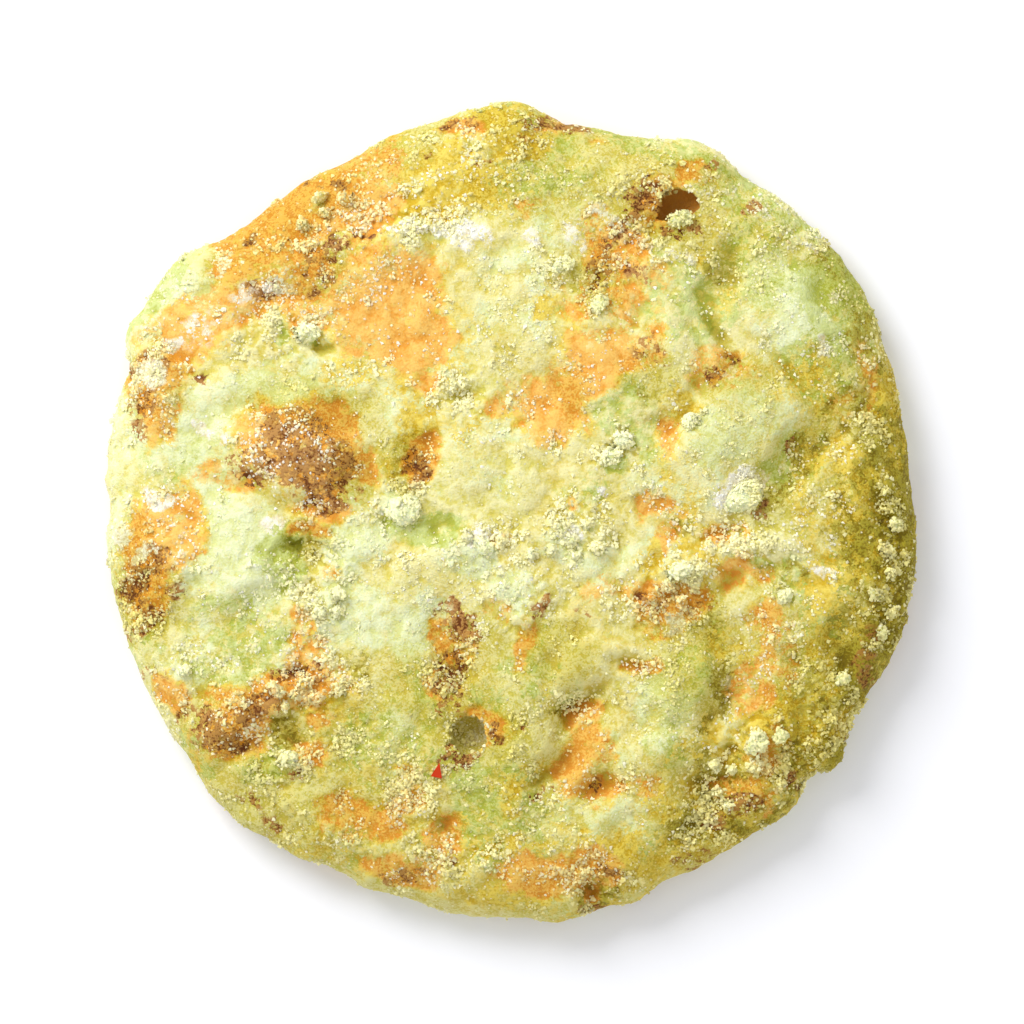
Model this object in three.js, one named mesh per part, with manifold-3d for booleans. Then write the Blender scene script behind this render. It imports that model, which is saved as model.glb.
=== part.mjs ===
// A round puffed rice cracker with a green sugar crust. It is one solid: a crowned slab with an
// uneven rim, blisters, ridges, hollows and small puffs on top, two burst bubbles that open
// upwards, lumps of sugar crust and crumbs fused on, and an underside with shallow dimples.
// Millimetres, +Z up, the origin under the middle of the cracker on the surface that it lies on.
import * as THREE from 'three';
import { mergeVertices } from 'three/addons/utils/BufferGeometryUtils.js';
import Module from 'manifold-3d';

// Driving dimensions of the slab.
const MEAN_RADIUS = 34.95;
const MIDDLE_THICKNESS = 7.7;
const CROWN = 2.4; // how much the top falls from the middle to the rim
const WIDEST_HEIGHT = 2.6; // height of the rim's widest line
const WIDEST_WANDER = 0.35; // how far that line goes up and down
const TOP_EDGE = 4.6; // how far in the rounding of the top edge reaches
const BOTTOM_EDGE = 6.4; // the same on the underside

// Fineness of the surface.
const TOP_STEP = 1.25;
const RIM_STEP = 1.45;
const BOTTOM_STEP = 2.8;
const TOP_EDGE_RINGS = 5;
const BOTTOM_EDGE_RINGS = 3;

// The puffs: small domes, one near the middle of each cell of a square grid that is shaken up.
const PUFF_CELL = 3.4;
const PUFF_HEIGHT = 0.85;
const PUFF_SEED = 1;

// The underside: dimples of the same kind, none of them on the flat land in the middle.
const DIMPLE_CELL = 7.0;
const DIMPLE_DEPTH = 1.0;
const DIMPLE_SEED = 31;
const LAND_RADIUS = 5.0;

// The outline's swells and dents: direction and half spread in degrees, rise in mm.
const OUTLINE_SWELLS = [
  [8, 10, -0.5],
  [34, 7, 0.35],
  [45, 20, 0.55],
  [54.5, 2.5, -0.35],
  [62, 3.5, 0.5],
  [77.5, 8.5, -1.15],
  [90, 3.2, 0.45],
  [107, 9, -0.9],
  [125, 13, -1.25],
  [148.5, 9, 1.3],
  [155, 2.8, 0.5],
  [170, 14, 0.2],
  [179.5, 3, -0.45],
  [226, 6, 0.65],
  [244, 4, -0.65],
  [254, 5, -0.45],
  [277, 4, 0.55],
  [287, 2.5, 0.3],
  [293.5, 2.5, -0.3],
  [300, 11, -0.4],
  [312, 2.5, 0.25],
  [318, 2.3, -0.75],
  [322.5, 2.3, 0.45],
  [330.5, 5, -0.7],
  [346, 8, 0.15],
];

// Relief on the top, each an oval: x, y, half length, half width, turn in degrees, rise.
const BLISTERS = [
  [-19.0, 5.2, 7.0, 5.4, -12, 1.6],
  [-30.2, -4.0, 6.4, 3.8, 95, 1.1],
  [-31.0, 11.5, 4.0, 3.0, 80, 0.7],
  [-23.4, -17.6, 6.2, 3.6, 30, 1.4],
  [-23.5, -4.5, 7.5, 6.0, 0, 0.9],
  [-21.5, -22.2, 4.0, 2.4, 25, 0.7],
  [-22.5, 20.0, 6.0, 3.6, 30, 0.6],
  [-11.0, 22.5, 6.0, 4.6, 0, 0.6],
  [-4.0, 23.5, 3.2, 2.4, 0, 0.5],
  [24.4, 17.2, 7.6, 3.6, -52, 1.2],
  [17.8, 6.0, 7.4, 6.4, 30, 1.2],
  [26.0, -8.0, 6.5, 4.5, 20, 0.7],
  [15.3, -14.5, 4.4, 4.2, 0, 1.1],
  [1.0, -6.8, 3.4, 3.0, 20, 0.7],
  [-4.5, -3.0, 7.0, 5.4, 0, 0.5],
  [4.5, -33.2, 3.4, 2.0, 0, 0.6],
  [27.3, -17.5, 5.0, 3.0, 60, 0.6],
  [22.0, -24.5, 4.4, 2.6, 30, 0.5],
  [-17.0, -25.8, 4.0, 2.8, 20, 0.5],
  [10.0, 27.5, 3.6, 2.6, 20, 0.5],
  [9.0, 12.0, 5.0, 6.0, 0, 0.4],
];
const RIDGES = [
  [29.6, 2.0, 5.0, 2.0, 90, 0.6],
  [22.8, -2.8, 5.0, 2.0, -18, 0.7],
  [11.5, -21.0, 8.0, 3.8, 70, 1.0],
  [13.6, 14.5, 6.0, 2.2, 88, 0.8],
  [6.3, -13.2, 5.0, 1.7, 32, 0.8],
  [-0.8, -20.5, 9.5, 3.2, 93, 0.6],
  [16.3, -4.2, 6.0, 2.0, 20, 0.6],
  [21.8, -19.0, 4.2, 2.2, 48, 0.6],
  [6.0, -28.0, 7.5, 3.0, 16, 0.5],
  [-14.8, -3.2, 4.6, 2.2, -40, 0.4],
];
const HOLLOWS = [
  [13.4, 7.4, 3.0, 2.2, 70, -0.9],
  [-3.8, 10.1, 1.6, 1.3, 0, -0.8],
  [-16.2, 14.0, 1.8, 1.3, 0, -0.6],
  [10.6, -13.2, 2.6, 1.5, -10, -0.8],
  [2.5, 10.5, 5.6, 3.8, 15, -0.5],
  [-8.6, 4.8, 3.0, 2.3, 80, -0.7],
  [-5.3, -11.5, 5.0, 2.6, 80, -0.6],
  [6.8, -33.0, 2.2, 1.8, 30, -1.3],
  [-28.6, 14.5, 4.5, 3.0, 30, -0.3],
  [3.0, 31.0, 6.0, 2.6, -5, -0.4],
  [6.0, -18.0, 5.0, 3.2, 55, -0.7],
  [12.6, 0.0, 3.0, 2.3, 20, -0.5],
  [4.8, 19.5, 3.3, 2.8, 0, -0.5],
  [-5.0, -28.4, 3.0, 2.7, 60, -0.5],
];
const VALLEYS = [
  [16.9, 17.3, 6.6, 1.9, 87, -1.1],
  [5.6, -16.2, 4.2, 1.8, 42, -0.9],
  [2.8, -23.8, 5.0, 2.4, 87, -0.6],
  [16.5, -23.9, 6.4, 2.7, 58, -1.1],
  [-17.9, -3.0, 4.0, 1.8, 16, -0.9],
  [-8.0, -1.6, 4.2, 2.3, -4, -0.7],
  [24.4, 4.2, 6.8, 2.5, 60, -1.0],
  [31.5, 0.0, 5.4, 1.6, 92, -0.7],
  [17.8, -6.8, 4.2, 1.8, 43, -0.8],
  [-18.9, -19.0, 3.6, 2.0, 57, -0.8],
  [18.3, -14.0, 5.4, 2.0, 90, -0.6],
  [-22.2, -23.3, 3.6, 1.5, 34, -0.4],
  [7.5, -23.3, 2.3, 1.7, 60, -0.6],
  [25.5, -18.4, 5.0, 1.9, 66, -0.6],
  [28.0, -11.2, 4.4, 2.0, 70, -0.6],
];
const RELIEF = [...BLISTERS, ...RIDGES, ...HOLLOWS, ...VALLEYS];
const RELIEF_POWER = 1.5; // over 1, so that an oval runs out without a crease

// The burst bubbles: x, y, half length and half width of the mouth, turn, depth of the bubble.
const BURST_BUBBLES = [
  [14.5, 26.0, 2.1, 1.15, 12, 2.6],
  [-3.8, -19.0, 1.35, 1.2, 40, 2.9],
];
const BUBBLE_MOUTH = 0.7; // the mouth's width as a part of the bubble's
const BUBBLE_DETAIL = 2;

// Lumps of sugar crust that lie on the top: x, y, length, width, height, turn.
const LUMPS = [
  [-9.3, 0.3, 3.0, 2.4, 1.5, 25],
  [19.5, 1.3, 3.6, 2.4, 1.0, 15],
  [21.0, -19.7, 2.0, 1.4, 1.0, 50],
  [23.0, -19.2, 1.3, 1.0, 0.8, 0],
  [9.4, 6.2, 1.5, 1.3, 0.9, 0],
  [8.4, 4.9, 1.6, 1.2, 0.7, 10],
  [-19.2, -21.1, 1.5, 1.4, 1.0, 0],
  [-17.5, 15.0, 1.7, 1.4, 0.9, 0],
  [4.3, 21.2, 1.6, 1.3, 0.8, 30],
  [7.5, 17.7, 1.4, 1.2, 0.8, 60],
  [-2.5, -2.9, 1.9, 1.3, 0.7, -30],
  [15.2, 7.8, 1.4, 1.2, 0.8, 70],
  [23.4, -7.2, 1.3, 1.1, 0.7, 0],
  [-28.2, -13.6, 1.0, 0.9, 0.7, 0],
  [14.4, -5.0, 2.2, 1.3, 0.7, 10],
  [28.4, -14.3, 1.4, 0.9, 0.7, 20],
];
const LUMP_DETAIL = 1;
const LUMP_SUNK = 0.3; // the part of a lump's height below the surface under it

// Crumbs in patches: x, y, half length, half width, turn, number.
const CRUMB_PATCHES = [
  [32.0, -5.5, 6.5, 1.0, 84, 8],
  [-2.0, -3.5, 5.0, 2.0, 10, 4],
  [5.3, -2.5, 2.6, 2.0, 30, 5],
  [-17.8, -15.6, 3.4, 1.4, 10, 6],
  [-16.0, -7.8, 2.6, 1.4, 30, 4],
  [-16.5, 26.0, 2.6, 1.6, 30, 4],
  [14.5, -6.6, 3.0, 1.6, 20, 5],
  [18.8, -22.6, 4.0, 2.2, 50, 6],
];
const CRUMB_SIZE = 0.95;
const CRUMB_DETAIL = 0;
const ROUGHNESS = 0.16; // how far the corners of a lump stray, as a part of its size

// The same number between 0 and 1 for the same three numbers, with no visible order.
function scattered(i, j, k) {
  const wave = Math.sin(i * 127.1 + j * 311.7 + k * 74.7) * 43758.5453;
  return wave - Math.floor(wave);
}

// Where a point of the plan is taken to be, so that ovals and cells get wandering outlines.
function wander(x, y) {
  const slowX = 0.8 * Math.sin(y / 2.1 + 0.8 * Math.sin(x / 3.3));
  const slowY = 0.8 * Math.sin(x / 2.3 + 1.3 + 0.8 * Math.sin(y / 2.9));
  const quickX = 0.45 * Math.sin((x + 1.7 * y) / 1.9 + 2.0);
  const quickY = 0.45 * Math.sin((1.6 * x - y) / 1.8 + 0.5);
  return [x + slowX + quickX, y + slowY + quickY];
}

// The outline's radius in a direction.
function outlineRadius(angle) {
  let radius = MEAN_RADIUS;
  for (const [direction, halfSpread, rise] of OUTLINE_SWELLS) {
    const turn = THREE.MathUtils.radToDeg(angle) - direction;
    const away = THREE.MathUtils.euclideanModulo(turn + 180, 360) - 180;
    radius += rise * Math.exp(-((away / halfSpread) ** 4));
  }
  return radius;
}

// The square of a point's distance from an oval's middle, 1 on its edge.
function ovalReach(dx, dy, halfLength, halfWidth, turn) {
  const angle = THREE.MathUtils.degToRad(turn);
  const along = (dx * Math.cos(angle) + dy * Math.sin(angle)) / halfLength;
  const across = (dy * Math.cos(angle) - dx * Math.sin(angle)) / halfWidth;
  return along * along + across * across;
}

// Height of the shaken-up domes at a point.
function puffHeight(x, y, cell, height, seed) {
  let highest = 0;
  for (let i = Math.floor(x / cell) - 1; i <= Math.floor(x / cell) + 1; i += 1) {
    for (let j = Math.floor(y / cell) - 1; j <= Math.floor(y / cell) + 1; j += 1) {
      const middleX = (i + scattered(i, j, seed)) * cell;
      const middleY = (j + scattered(i, j, seed + 1)) * cell;
      const reach = cell * (0.55 + 0.45 * scattered(i, j, seed + 2));
      const away = ((x - middleX) ** 2 + (y - middleY) ** 2) / (reach * reach);
      const dome = height * (0.3 + 0.7 * scattered(i, j, seed + 3)) * (1 - away);
      highest = Math.max(highest, dome);
    }
  }
  return highest;
}

// The top without its rounded edge.
function crownHeight(x, y) {
  let height = MIDDLE_THICKNESS - CROWN * ((x * x + y * y) / MEAN_RADIUS ** 2);
  const [bentX, bentY] = wander(x, y);
  for (const [middleX, middleY, halfLength, halfWidth, turn, rise] of RELIEF) {
    const [bentMiddleX, bentMiddleY] = wander(middleX, middleY);
    const reach = ovalReach(bentX - bentMiddleX, bentY - bentMiddleY, halfLength, halfWidth, turn);
    height += rise * Math.max(0, 1 - reach) ** RELIEF_POWER;
  }
  return height + puffHeight(bentX, bentY, PUFF_CELL, PUFF_HEIGHT, PUFF_SEED);
}

// A quarter round: 0 at the rim, 1 from the given depth inwards.
function quarterRound(inwards, depth) {
  const left = 1 - Math.min(1, Math.max(0, inwards / depth));
  return Math.sqrt(1 - left * left);
}

function widestHeight(angle) {
  return WIDEST_HEIGHT + WIDEST_WANDER * Math.sin(5 * angle + Math.sin(3 * angle));
}

function topHeight(x, y) {
  const angle = Math.atan2(y, x);
  const rim = widestHeight(angle);
  const rounding = quarterRound(outlineRadius(angle) - Math.hypot(x, y), TOP_EDGE);
  return rim + (crownHeight(x, y) - rim) * rounding;
}

function bottomHeight(x, y) {
  const angle = Math.atan2(y, x);
  const inwards = outlineRadius(angle) - Math.hypot(x, y);
  const rounding = quarterRound(inwards, BOTTOM_EDGE);
  const offLand = THREE.MathUtils.smoothstep(Math.hypot(x, y), LAND_RADIUS, 2 * LAND_RADIUS);
  const dimple = puffHeight(x, y, DIMPLE_CELL, DIMPLE_DEPTH, DIMPLE_SEED) - DIMPLE_DEPTH / 2;
  return widestHeight(angle) * (1 - rounding) + Math.max(0, dimple) * offLand * rounding;
}

// One ring of points at a distance inside the outline, or at a part of the remaining radius.
function makeRing(count, distanceOut, height) {
  const ring = [];
  for (let step = 0; step < count; step += 1) {
    const angle = (2 * Math.PI * step) / count;
    const radius = distanceOut(outlineRadius(angle));
    const x = radius * Math.cos(angle);
    const y = radius * Math.sin(angle);
    ring.push([x, y, height(x, y)]);
  }
  return ring;
}

// Rings over one face, from the middle to the rim: even steps, then closer ones round the edge.
function makeFace(step, edge, edgeRings, height) {
  const rings = [[[0, 0, height(0, 0)]]];
  const flatRings = Math.round((MEAN_RADIUS - edge) / step);
  for (let k = 1; k <= flatRings; k += 1) {
    const part = k / flatRings;
    const count = Math.round((2 * Math.PI * (MEAN_RADIUS - edge) * part) / step);
    rings.push(makeRing(count, (outer) => (outer - edge) * part, height));
  }
  for (let k = 1; k < edgeRings; k += 1) {
    const inwards = edge * (1 - Math.sin((Math.PI * k) / (2 * edgeRings)));
    rings.push(makeRing(rimCount(), (outer) => outer - inwards, height));
  }
  return rings;
}

function rimCount() {
  return Math.round((2 * Math.PI * MEAN_RADIUS) / RIM_STEP);
}

// Triangles between two closed rings of points, however many each has.
function stitch(inner, outer, innerStart, outerStart, triangles) {
  let i = 0;
  let j = 0;
  while (i < inner.length || j < outer.length) {
    const innerNext = (i + 1) / inner.length;
    const outerNext = (j + 1) / outer.length;
    const a = innerStart + (i % inner.length);
    const b = outerStart + (j % outer.length);
    if (j < outer.length && (outerNext <= innerNext || i === inner.length)) {
      triangles.push(a, b, outerStart + ((j + 1) % outer.length));
      j += 1;
    } else {
      if (inner.length > 1) triangles.push(a, b, innerStart + ((i + 1) % inner.length));
      i += 1;
    }
  }
}

// The closed slab: the top's rings outwards, the widest ring, the underside's rings inwards.
function makeSlab() {
  const top = makeFace(TOP_STEP, TOP_EDGE, TOP_EDGE_RINGS, topHeight);
  const rim = makeRing(rimCount(), (outer) => outer, topHeight);
  const bottom = makeFace(BOTTOM_STEP, BOTTOM_EDGE, BOTTOM_EDGE_RINGS, bottomHeight);
  const rings = [...top, rim, ...bottom.reverse()];
  const positions = rings.flat(2);
  const triangles = [];
  let start = 0;
  for (let k = 0; k + 1 < rings.length; k += 1) {
    const next = start + rings[k].length;
    if (rings[k + 1].length > 1) {
      stitch(rings[k], rings[k + 1], start, next, triangles);
    } else {
      for (let i = 0; i < rings[k].length; i += 1) {
        triangles.push(start + i, next, start + ((i + 1) % rings[k].length));
      }
    }
    start = next;
  }
  const geometry = new THREE.BufferGeometry();
  geometry.setAttribute('position', new THREE.Float32BufferAttribute(positions, 3));
  geometry.setIndex(triangles);
  return geometry;
}

// A rough ball with the given sizes, turned about the vertical and moved into place.
function makeRoughBall(place, size, turn, detail, seed) {
  const ball = new THREE.IcosahedronGeometry(0.5, detail);
  ball.deleteAttribute('normal');
  ball.deleteAttribute('uv');
  const merged = mergeVertices(ball);
  const corners = merged.getAttribute('position');
  const corner = new THREE.Vector3();
  for (let k = 0; k < corners.count; k += 1) {
    corner.fromBufferAttribute(corners, k);
    corner.multiplyScalar(1 + ROUGHNESS * (2 * scattered(k, seed, seed + 7) - 1));
    corners.setXYZ(k, corner.x, corner.y, corner.z);
  }
  merged.scale(...size);
  merged.rotateZ(THREE.MathUtils.degToRad(turn));
  merged.translate(...place);
  return merged;
}

function makeLump([x, y, length, width, height, turn], index) {
  const z = topHeight(x, y) + height * (0.5 - LUMP_SUNK);
  return makeRoughBall([x, y, z], [length, width, height], turn, LUMP_DETAIL, index + 1);
}

// The crumbs of one patch, spread over its oval by the golden angle with a little disorder.
function makeCrumbs([middleX, middleY, halfLength, halfWidth, turn, count], patch) {
  const crumbs = [];
  const cosine = Math.cos(THREE.MathUtils.degToRad(turn));
  const sine = Math.sin(THREE.MathUtils.degToRad(turn));
  const goldenAngle = Math.PI * (3 - Math.sqrt(5));
  for (let k = 0; k < count; k += 1) {
    const out = Math.sqrt((k + scattered(k, patch, 2)) / count);
    const along = halfLength * out * Math.cos(k * goldenAngle + patch);
    const across = halfWidth * out * Math.sin(k * goldenAngle + patch);
    const x = middleX + along * cosine - across * sine;
    const y = middleY + along * sine + across * cosine;
    const size = CRUMB_SIZE * (0.7 + 0.6 * scattered(k, patch, 3));
    const z = topHeight(x, y) + size * (0.5 - LUMP_SUNK);
    const sizes = [size * 1.2, size, size];
    crumbs.push(makeRoughBall([x, y, z], sizes, 360 * out, CRUMB_DETAIL, 10 * patch + k));
  }
  return crumbs;
}

// The space of a burst bubble: a rough ball whose middle lies below its mouth.
function makeBubble([x, y, mouthLength, mouthWidth, turn, depth], index) {
  const belowMouth = depth / (1 + 1 / Math.sqrt(1 - BUBBLE_MOUTH ** 2));
  const halfHeight = depth - belowMouth;
  const place = [x, y, topHeight(x, y) - belowMouth];
  const size = [(2 * mouthLength) / BUBBLE_MOUTH, (2 * mouthWidth) / BUBBLE_MOUTH, 2 * halfHeight];
  return makeRoughBall(place, size, turn, BUBBLE_DETAIL, 100 + index);
}

// Joining and cutting.
const wasm = await Module();
wasm.setup();

function toSolid(geometry) {
  const vertProperties = new Float32Array(geometry.getAttribute('position').array);
  const triVerts = new Uint32Array(geometry.getIndex().array);
  return new wasm.Manifold(new wasm.Mesh({ numProp: 3, vertProperties, triVerts }));
}

function toGeometry(solid) {
  const mesh = solid.getMesh();
  const geometry = new THREE.BufferGeometry();
  geometry.setAttribute('position', new THREE.BufferAttribute(mesh.vertProperties, 3));
  geometry.setIndex(new THREE.BufferAttribute(mesh.triVerts, 1));
  geometry.computeVertexNormals();
  return geometry;
}

function makeCracker() {
  let solid = toSolid(makeSlab());
  for (const bubble of BURST_BUBBLES.map(makeBubble)) {
    solid = solid.subtract(toSolid(bubble));
  }
  for (const lump of [...LUMPS.map(makeLump), ...CRUMB_PATCHES.flatMap(makeCrumbs)]) {
    solid = solid.add(toSolid(lump));
  }
  return toGeometry(solid);
}

const crust = new THREE.MeshStandardMaterial({ color: 0xdcd492, roughness: 0.7, metalness: 0 });
const cracker = new THREE.Mesh(makeCracker(), crust);
cracker.name = 'cracker';

const model = new THREE.Group();
model.add(cracker);

export default model;
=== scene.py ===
"""A round puffed rice cracker with a green sugar crust, lying on a pale floor.

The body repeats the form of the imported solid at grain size, with a little less relief. Lumps,
crumbs and loose grains are pieces of their own. Places are millimetres in the solid's frame until
a mesh is made in metres.
"""
import math

import bpy
import numpy as np
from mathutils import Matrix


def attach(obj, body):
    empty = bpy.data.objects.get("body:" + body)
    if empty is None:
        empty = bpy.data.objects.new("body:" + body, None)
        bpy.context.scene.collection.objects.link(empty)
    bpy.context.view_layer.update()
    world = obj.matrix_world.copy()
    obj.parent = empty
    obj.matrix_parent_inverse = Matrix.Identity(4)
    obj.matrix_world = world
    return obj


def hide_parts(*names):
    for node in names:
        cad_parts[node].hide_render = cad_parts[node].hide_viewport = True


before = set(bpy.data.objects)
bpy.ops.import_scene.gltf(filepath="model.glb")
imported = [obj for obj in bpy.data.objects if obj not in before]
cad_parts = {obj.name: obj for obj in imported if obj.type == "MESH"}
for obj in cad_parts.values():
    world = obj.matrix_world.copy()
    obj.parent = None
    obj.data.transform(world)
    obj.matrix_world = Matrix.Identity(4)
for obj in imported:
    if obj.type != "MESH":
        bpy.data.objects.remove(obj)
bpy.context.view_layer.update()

NODE = "cracker"
BODY = "root"
MM = 0.001

# Driving dimensions of the slab, as in the solid apart from the lower domes.
MEAN_RADIUS = 34.95
MIDDLE_THICKNESS = 7.7
CROWN = 2.4
WIDEST_HEIGHT = 2.6
WIDEST_WANDER = 0.35
TOP_EDGE = 4.6
BOTTOM_EDGE = 6.4
PUFF_CELL = 3.4
PUFF_HEIGHT = 0.4
PUFF_SEED = 1
DIMPLE_CELL = 7.0
DIMPLE_DEPTH = 1.0
DIMPLE_SEED = 31
LAND_RADIUS = 5.0
RELIEF_POWER = 1.5

# Fineness of the mesh: about the width of a sugar grain wherever the photograph looks.
TOP_STEP = 0.23
RIM_STEP = 0.25
TOP_EDGE_RINGS = 25
BOTTOM_STEP = 0.7
BOTTOM_EDGE_RINGS = 15
RING_STRAY = 0.6
EDGE_RING_NUMBERS = 500  # the edge's rings are counted from here, for strays of their own
RIM_RING_NUMBER = 900

# The outline's swells and dents: direction and half spread in degrees, rise.
OUTLINE_SWELLS = [
    (8, 10, -0.5), (34, 7, 0.35), (45, 20, 0.55), (54.5, 2.5, -0.35), (62, 3.5, 0.5),
    (77.5, 8.5, -1.15), (90, 3.2, 0.45), (107, 9, -0.9), (125, 13, -1.25), (148.5, 9, 1.3),
    (155, 2.8, 0.5), (170, 14, 0.2), (179.5, 3, -0.45), (226, 6, 0.65), (244, 4, -0.65),
    (254, 5, -0.45), (277, 4, 0.55), (287, 2.5, 0.3), (293.5, 2.5, -0.3), (300, 11, -0.4),
    (312, 2.5, 0.25), (318, 2.3, -0.75), (322.5, 2.3, 0.45), (330.5, 5, -0.7), (346, 8, 0.15),
]

# Relief on the top, each an oval: x, y, half length, half width, turn in degrees, rise.
RELIEF = [
    # blisters
    (-19, 5.2, 7, 5.4, -12, 1.6), (-30.2, -4, 6.4, 3.8, 95, 1.1), (-31, 11.5, 4, 3, 80, 0.7),
    (-23.4, -17.6, 6.2, 3.6, 30, 1.4), (-23.5, -4.5, 7.5, 6, 0, 0.9), (-21.5, -22.2, 4, 2.4, 25, 0.7),
    (-22.5, 20, 6, 3.6, 30, 0.6), (-11, 22.5, 6, 4.6, 0, 0.6), (-4, 23.5, 3.2, 2.4, 0, 0.5),
    (24.4, 17.2, 7.6, 3.6, -52, 1.2), (17.8, 6, 7.4, 6.4, 30, 1.2), (26, -8, 6.5, 4.5, 20, 0.7),
    (15.3, -14.5, 4.4, 4.2, 0, 1.1), (1, -6.8, 3.4, 3, 20, 0.7), (-4.5, -3, 7, 5.4, 0, 0.5),
    (4.5, -33.2, 3.4, 2, 0, 0.6), (27.3, -17.5, 5, 3, 60, 0.6), (22, -24.5, 4.4, 2.6, 30, 0.5),
    (-17, -25.8, 4, 2.8, 20, 0.5), (10, 27.5, 3.6, 2.6, 20, 0.5), (9, 12, 5, 6, 0, 0.4),
    # ridges
    (29.6, 2, 5, 2, 90, 0.6), (22.8, -2.8, 5, 2, -18, 0.7), (11.5, -21, 8, 3.8, 70, 1),
    (13.6, 14.5, 6, 2.2, 88, 0.8), (6.3, -13.2, 5, 2, 32, 0.6), (-0.8, -20.5, 9.5, 3.2, 93, 0.6),
    (16.3, -4.2, 6, 2, 20, 0.6), (21.8, -19, 4.2, 2.2, 48, 0.6), (6, -28, 7.5, 3, 16, 0.5),
    (-14.8, -3.2, 4.6, 2.2, -40, 0.4),
    # hollows
    (13.4, 7.4, 3, 2.2, 70, -0.5), (-3.8, 10.1, 1.6, 1.3, 0, -0.5), (-16.2, 14, 1.8, 1.3, 0, -0.6),
    (10.6, -13.2, 2.6, 1.5, -10, -0.8), (2.5, 10.5, 5.6, 3.8, 15, -0.5), (-8.6, 4.8, 3, 2.3, 80, -0.7),
    (-5.3, -11.5, 5, 2.6, 80, -0.6), (6.8, -33, 2.2, 1.8, 30, -1.3), (-28.6, 14.5, 4.5, 3, 30, -0.3),
    (3, 31, 6, 2.6, -5, -0.4), (6, -18, 5, 3.2, 55, -0.7), (12.6, 0, 3, 2.3, 20, -0.5),
    (4.8, 19.5, 3.3, 2.8, 0, -0.5), (-5, -28.4, 3, 2.7, 60, -0.5),
    # valleys
    (16.9, 17.3, 6.6, 1.9, 87, -0.8), (5.6, -16.2, 4.2, 1.8, 42, -0.9), (2.8, -23.8, 5, 2.4, 87, -0.6),
    (16.5, -23.9, 6.4, 2.7, 58, -1.1), (-17.9, -3, 4, 1.8, 16, -0.9), (-8, -1.6, 4.2, 2.3, -4, -0.7),
    (24.4, 4.2, 6.8, 2.5, 60, -1), (31.5, 0, 5.4, 1.6, 92, -0.7), (17.8, -6.8, 4.2, 1.8, 43, -0.4),
    (-18.9, -19, 3.6, 2, 57, -0.6), (18.3, -14, 5.4, 2, 90, -0.6), (-22.2, -23.3, 3.6, 1.5, 34, -0.4),
    (7.5, -23.3, 2.3, 1.7, 60, -0.6), (25.5, -18.4, 5, 1.9, 66, -0.6), (28, -11.2, 4.4, 2, 70, -0.6),
]

# The burst bubbles: x, y, half length and half width of the mouth, turn, depth of the bubble.
BURST_BUBBLES = [(13.6, 26.1, 2.1, 1.2, 8, 2.6), (-3.4, -19.1, 1.85, 1.5, 155, 2.3)]
BUBBLE_MOUTHS = [0.7, 0.82]  # how wide each mouth is beside its bubble
BUBBLE_BROWNNESS = [1.0, 0.05]
BUBBLE_DETAIL = 5
BUBBLE_ROUGHNESS = 0.13
BUBBLE_SEED = 100
BUBBLE_SHADE = (0.35, 0.9)  # the depths between which a bubble's wall gets its full colour
BUBBLE_MARGINS = (1.1, 1.2)  # how much wider and deeper than itself each is taken to be for that

# Lumps of sugar crust: x, y, length, width, height, turn.
LUMPS = [
    (-9.3, 0.3, 3, 2.4, 1.5, 25), (19.5, 1.3, 3.6, 2.4, 1, 15), (21, -19.7, 2, 1.4, 1, 50),
    (23, -19.2, 1.3, 1, 0.8, 0), (9.4, 6.2, 1.5, 1.3, 0.9, 0), (8.4, 4.9, 1.6, 1.2, 0.7, 10),
    (-19.2, -21.1, 1.5, 1.4, 1, 0), (-17.6, 15.3, 1.9, 1.5, 0.7, 0), (4.3, 21.2, 1.6, 1.3, 0.8, 30),
    (7.5, 17.7, 1.4, 1.2, 0.8, 60), (-2.5, -2.9, 1.9, 1.3, 0.7, -30), (15.2, 7.8, 1.4, 1.2, 0.8, 70),
    (23.4, -7.2, 1.3, 1.1, 0.7, 0), (-28.2, -13.6, 1, 0.9, 0.7, 0), (14.4, -5, 2.2, 1.3, 0.7, 10),
    (28.4, -14.3, 1.4, 0.9, 0.7, 20), (14.4, 25.2, 1.9, 1.2, 0.9, 10),
]
LUMP_SUNK = 0.3

# Crumbs in patches: x, y, half length, half width, turn, number.
CRUMB_PATCHES = [
    (32, -5.5, 6.5, 1, 84, 8), (-2, -3.5, 5, 2, 10, 4), (5.3, -2.5, 2.6, 2, 30, 5),
    (-17.8, -15.6, 3.4, 1.4, 10, 6), (-16, -7.8, 2.6, 1.4, 30, 4), (-16.5, 26, 2.6, 1.6, 30, 4),
    (14.5, -6.6, 3, 1.6, 20, 5), (18.8, -22.6, 4, 2.2, 50, 6),
]
CRUMB_SIZE = 0.95
CHIPS = 11  # flat places on each lump and crumb
CHIP_REACH = 0.32  # least distance of a flat place from the middle of a ball of radius 0.5
CHIP_STRAY = 0.16
LUMP_ROUGHNESS = 0.1
LUMP_SWELL = 1.1  # what the flat places take off a lump is made up beforehand
LUMP_DETAIL = 5
CRUMB_DETAIL = 4
MINTY_LUMPS = 0.9  # how far they keep their own pale colour
MINTY_CRUMBS = 0.4
MINTY_LOSS = 0.8  # the share of it that crumbs lose on bare patches
LUMP_DEEPENING_AND_SHADE = 0.5  # the share of the ground's deeper tone and painted shade that lumps and crumbs take
LEAST_CRUMBLINESS = 0.5

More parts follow.
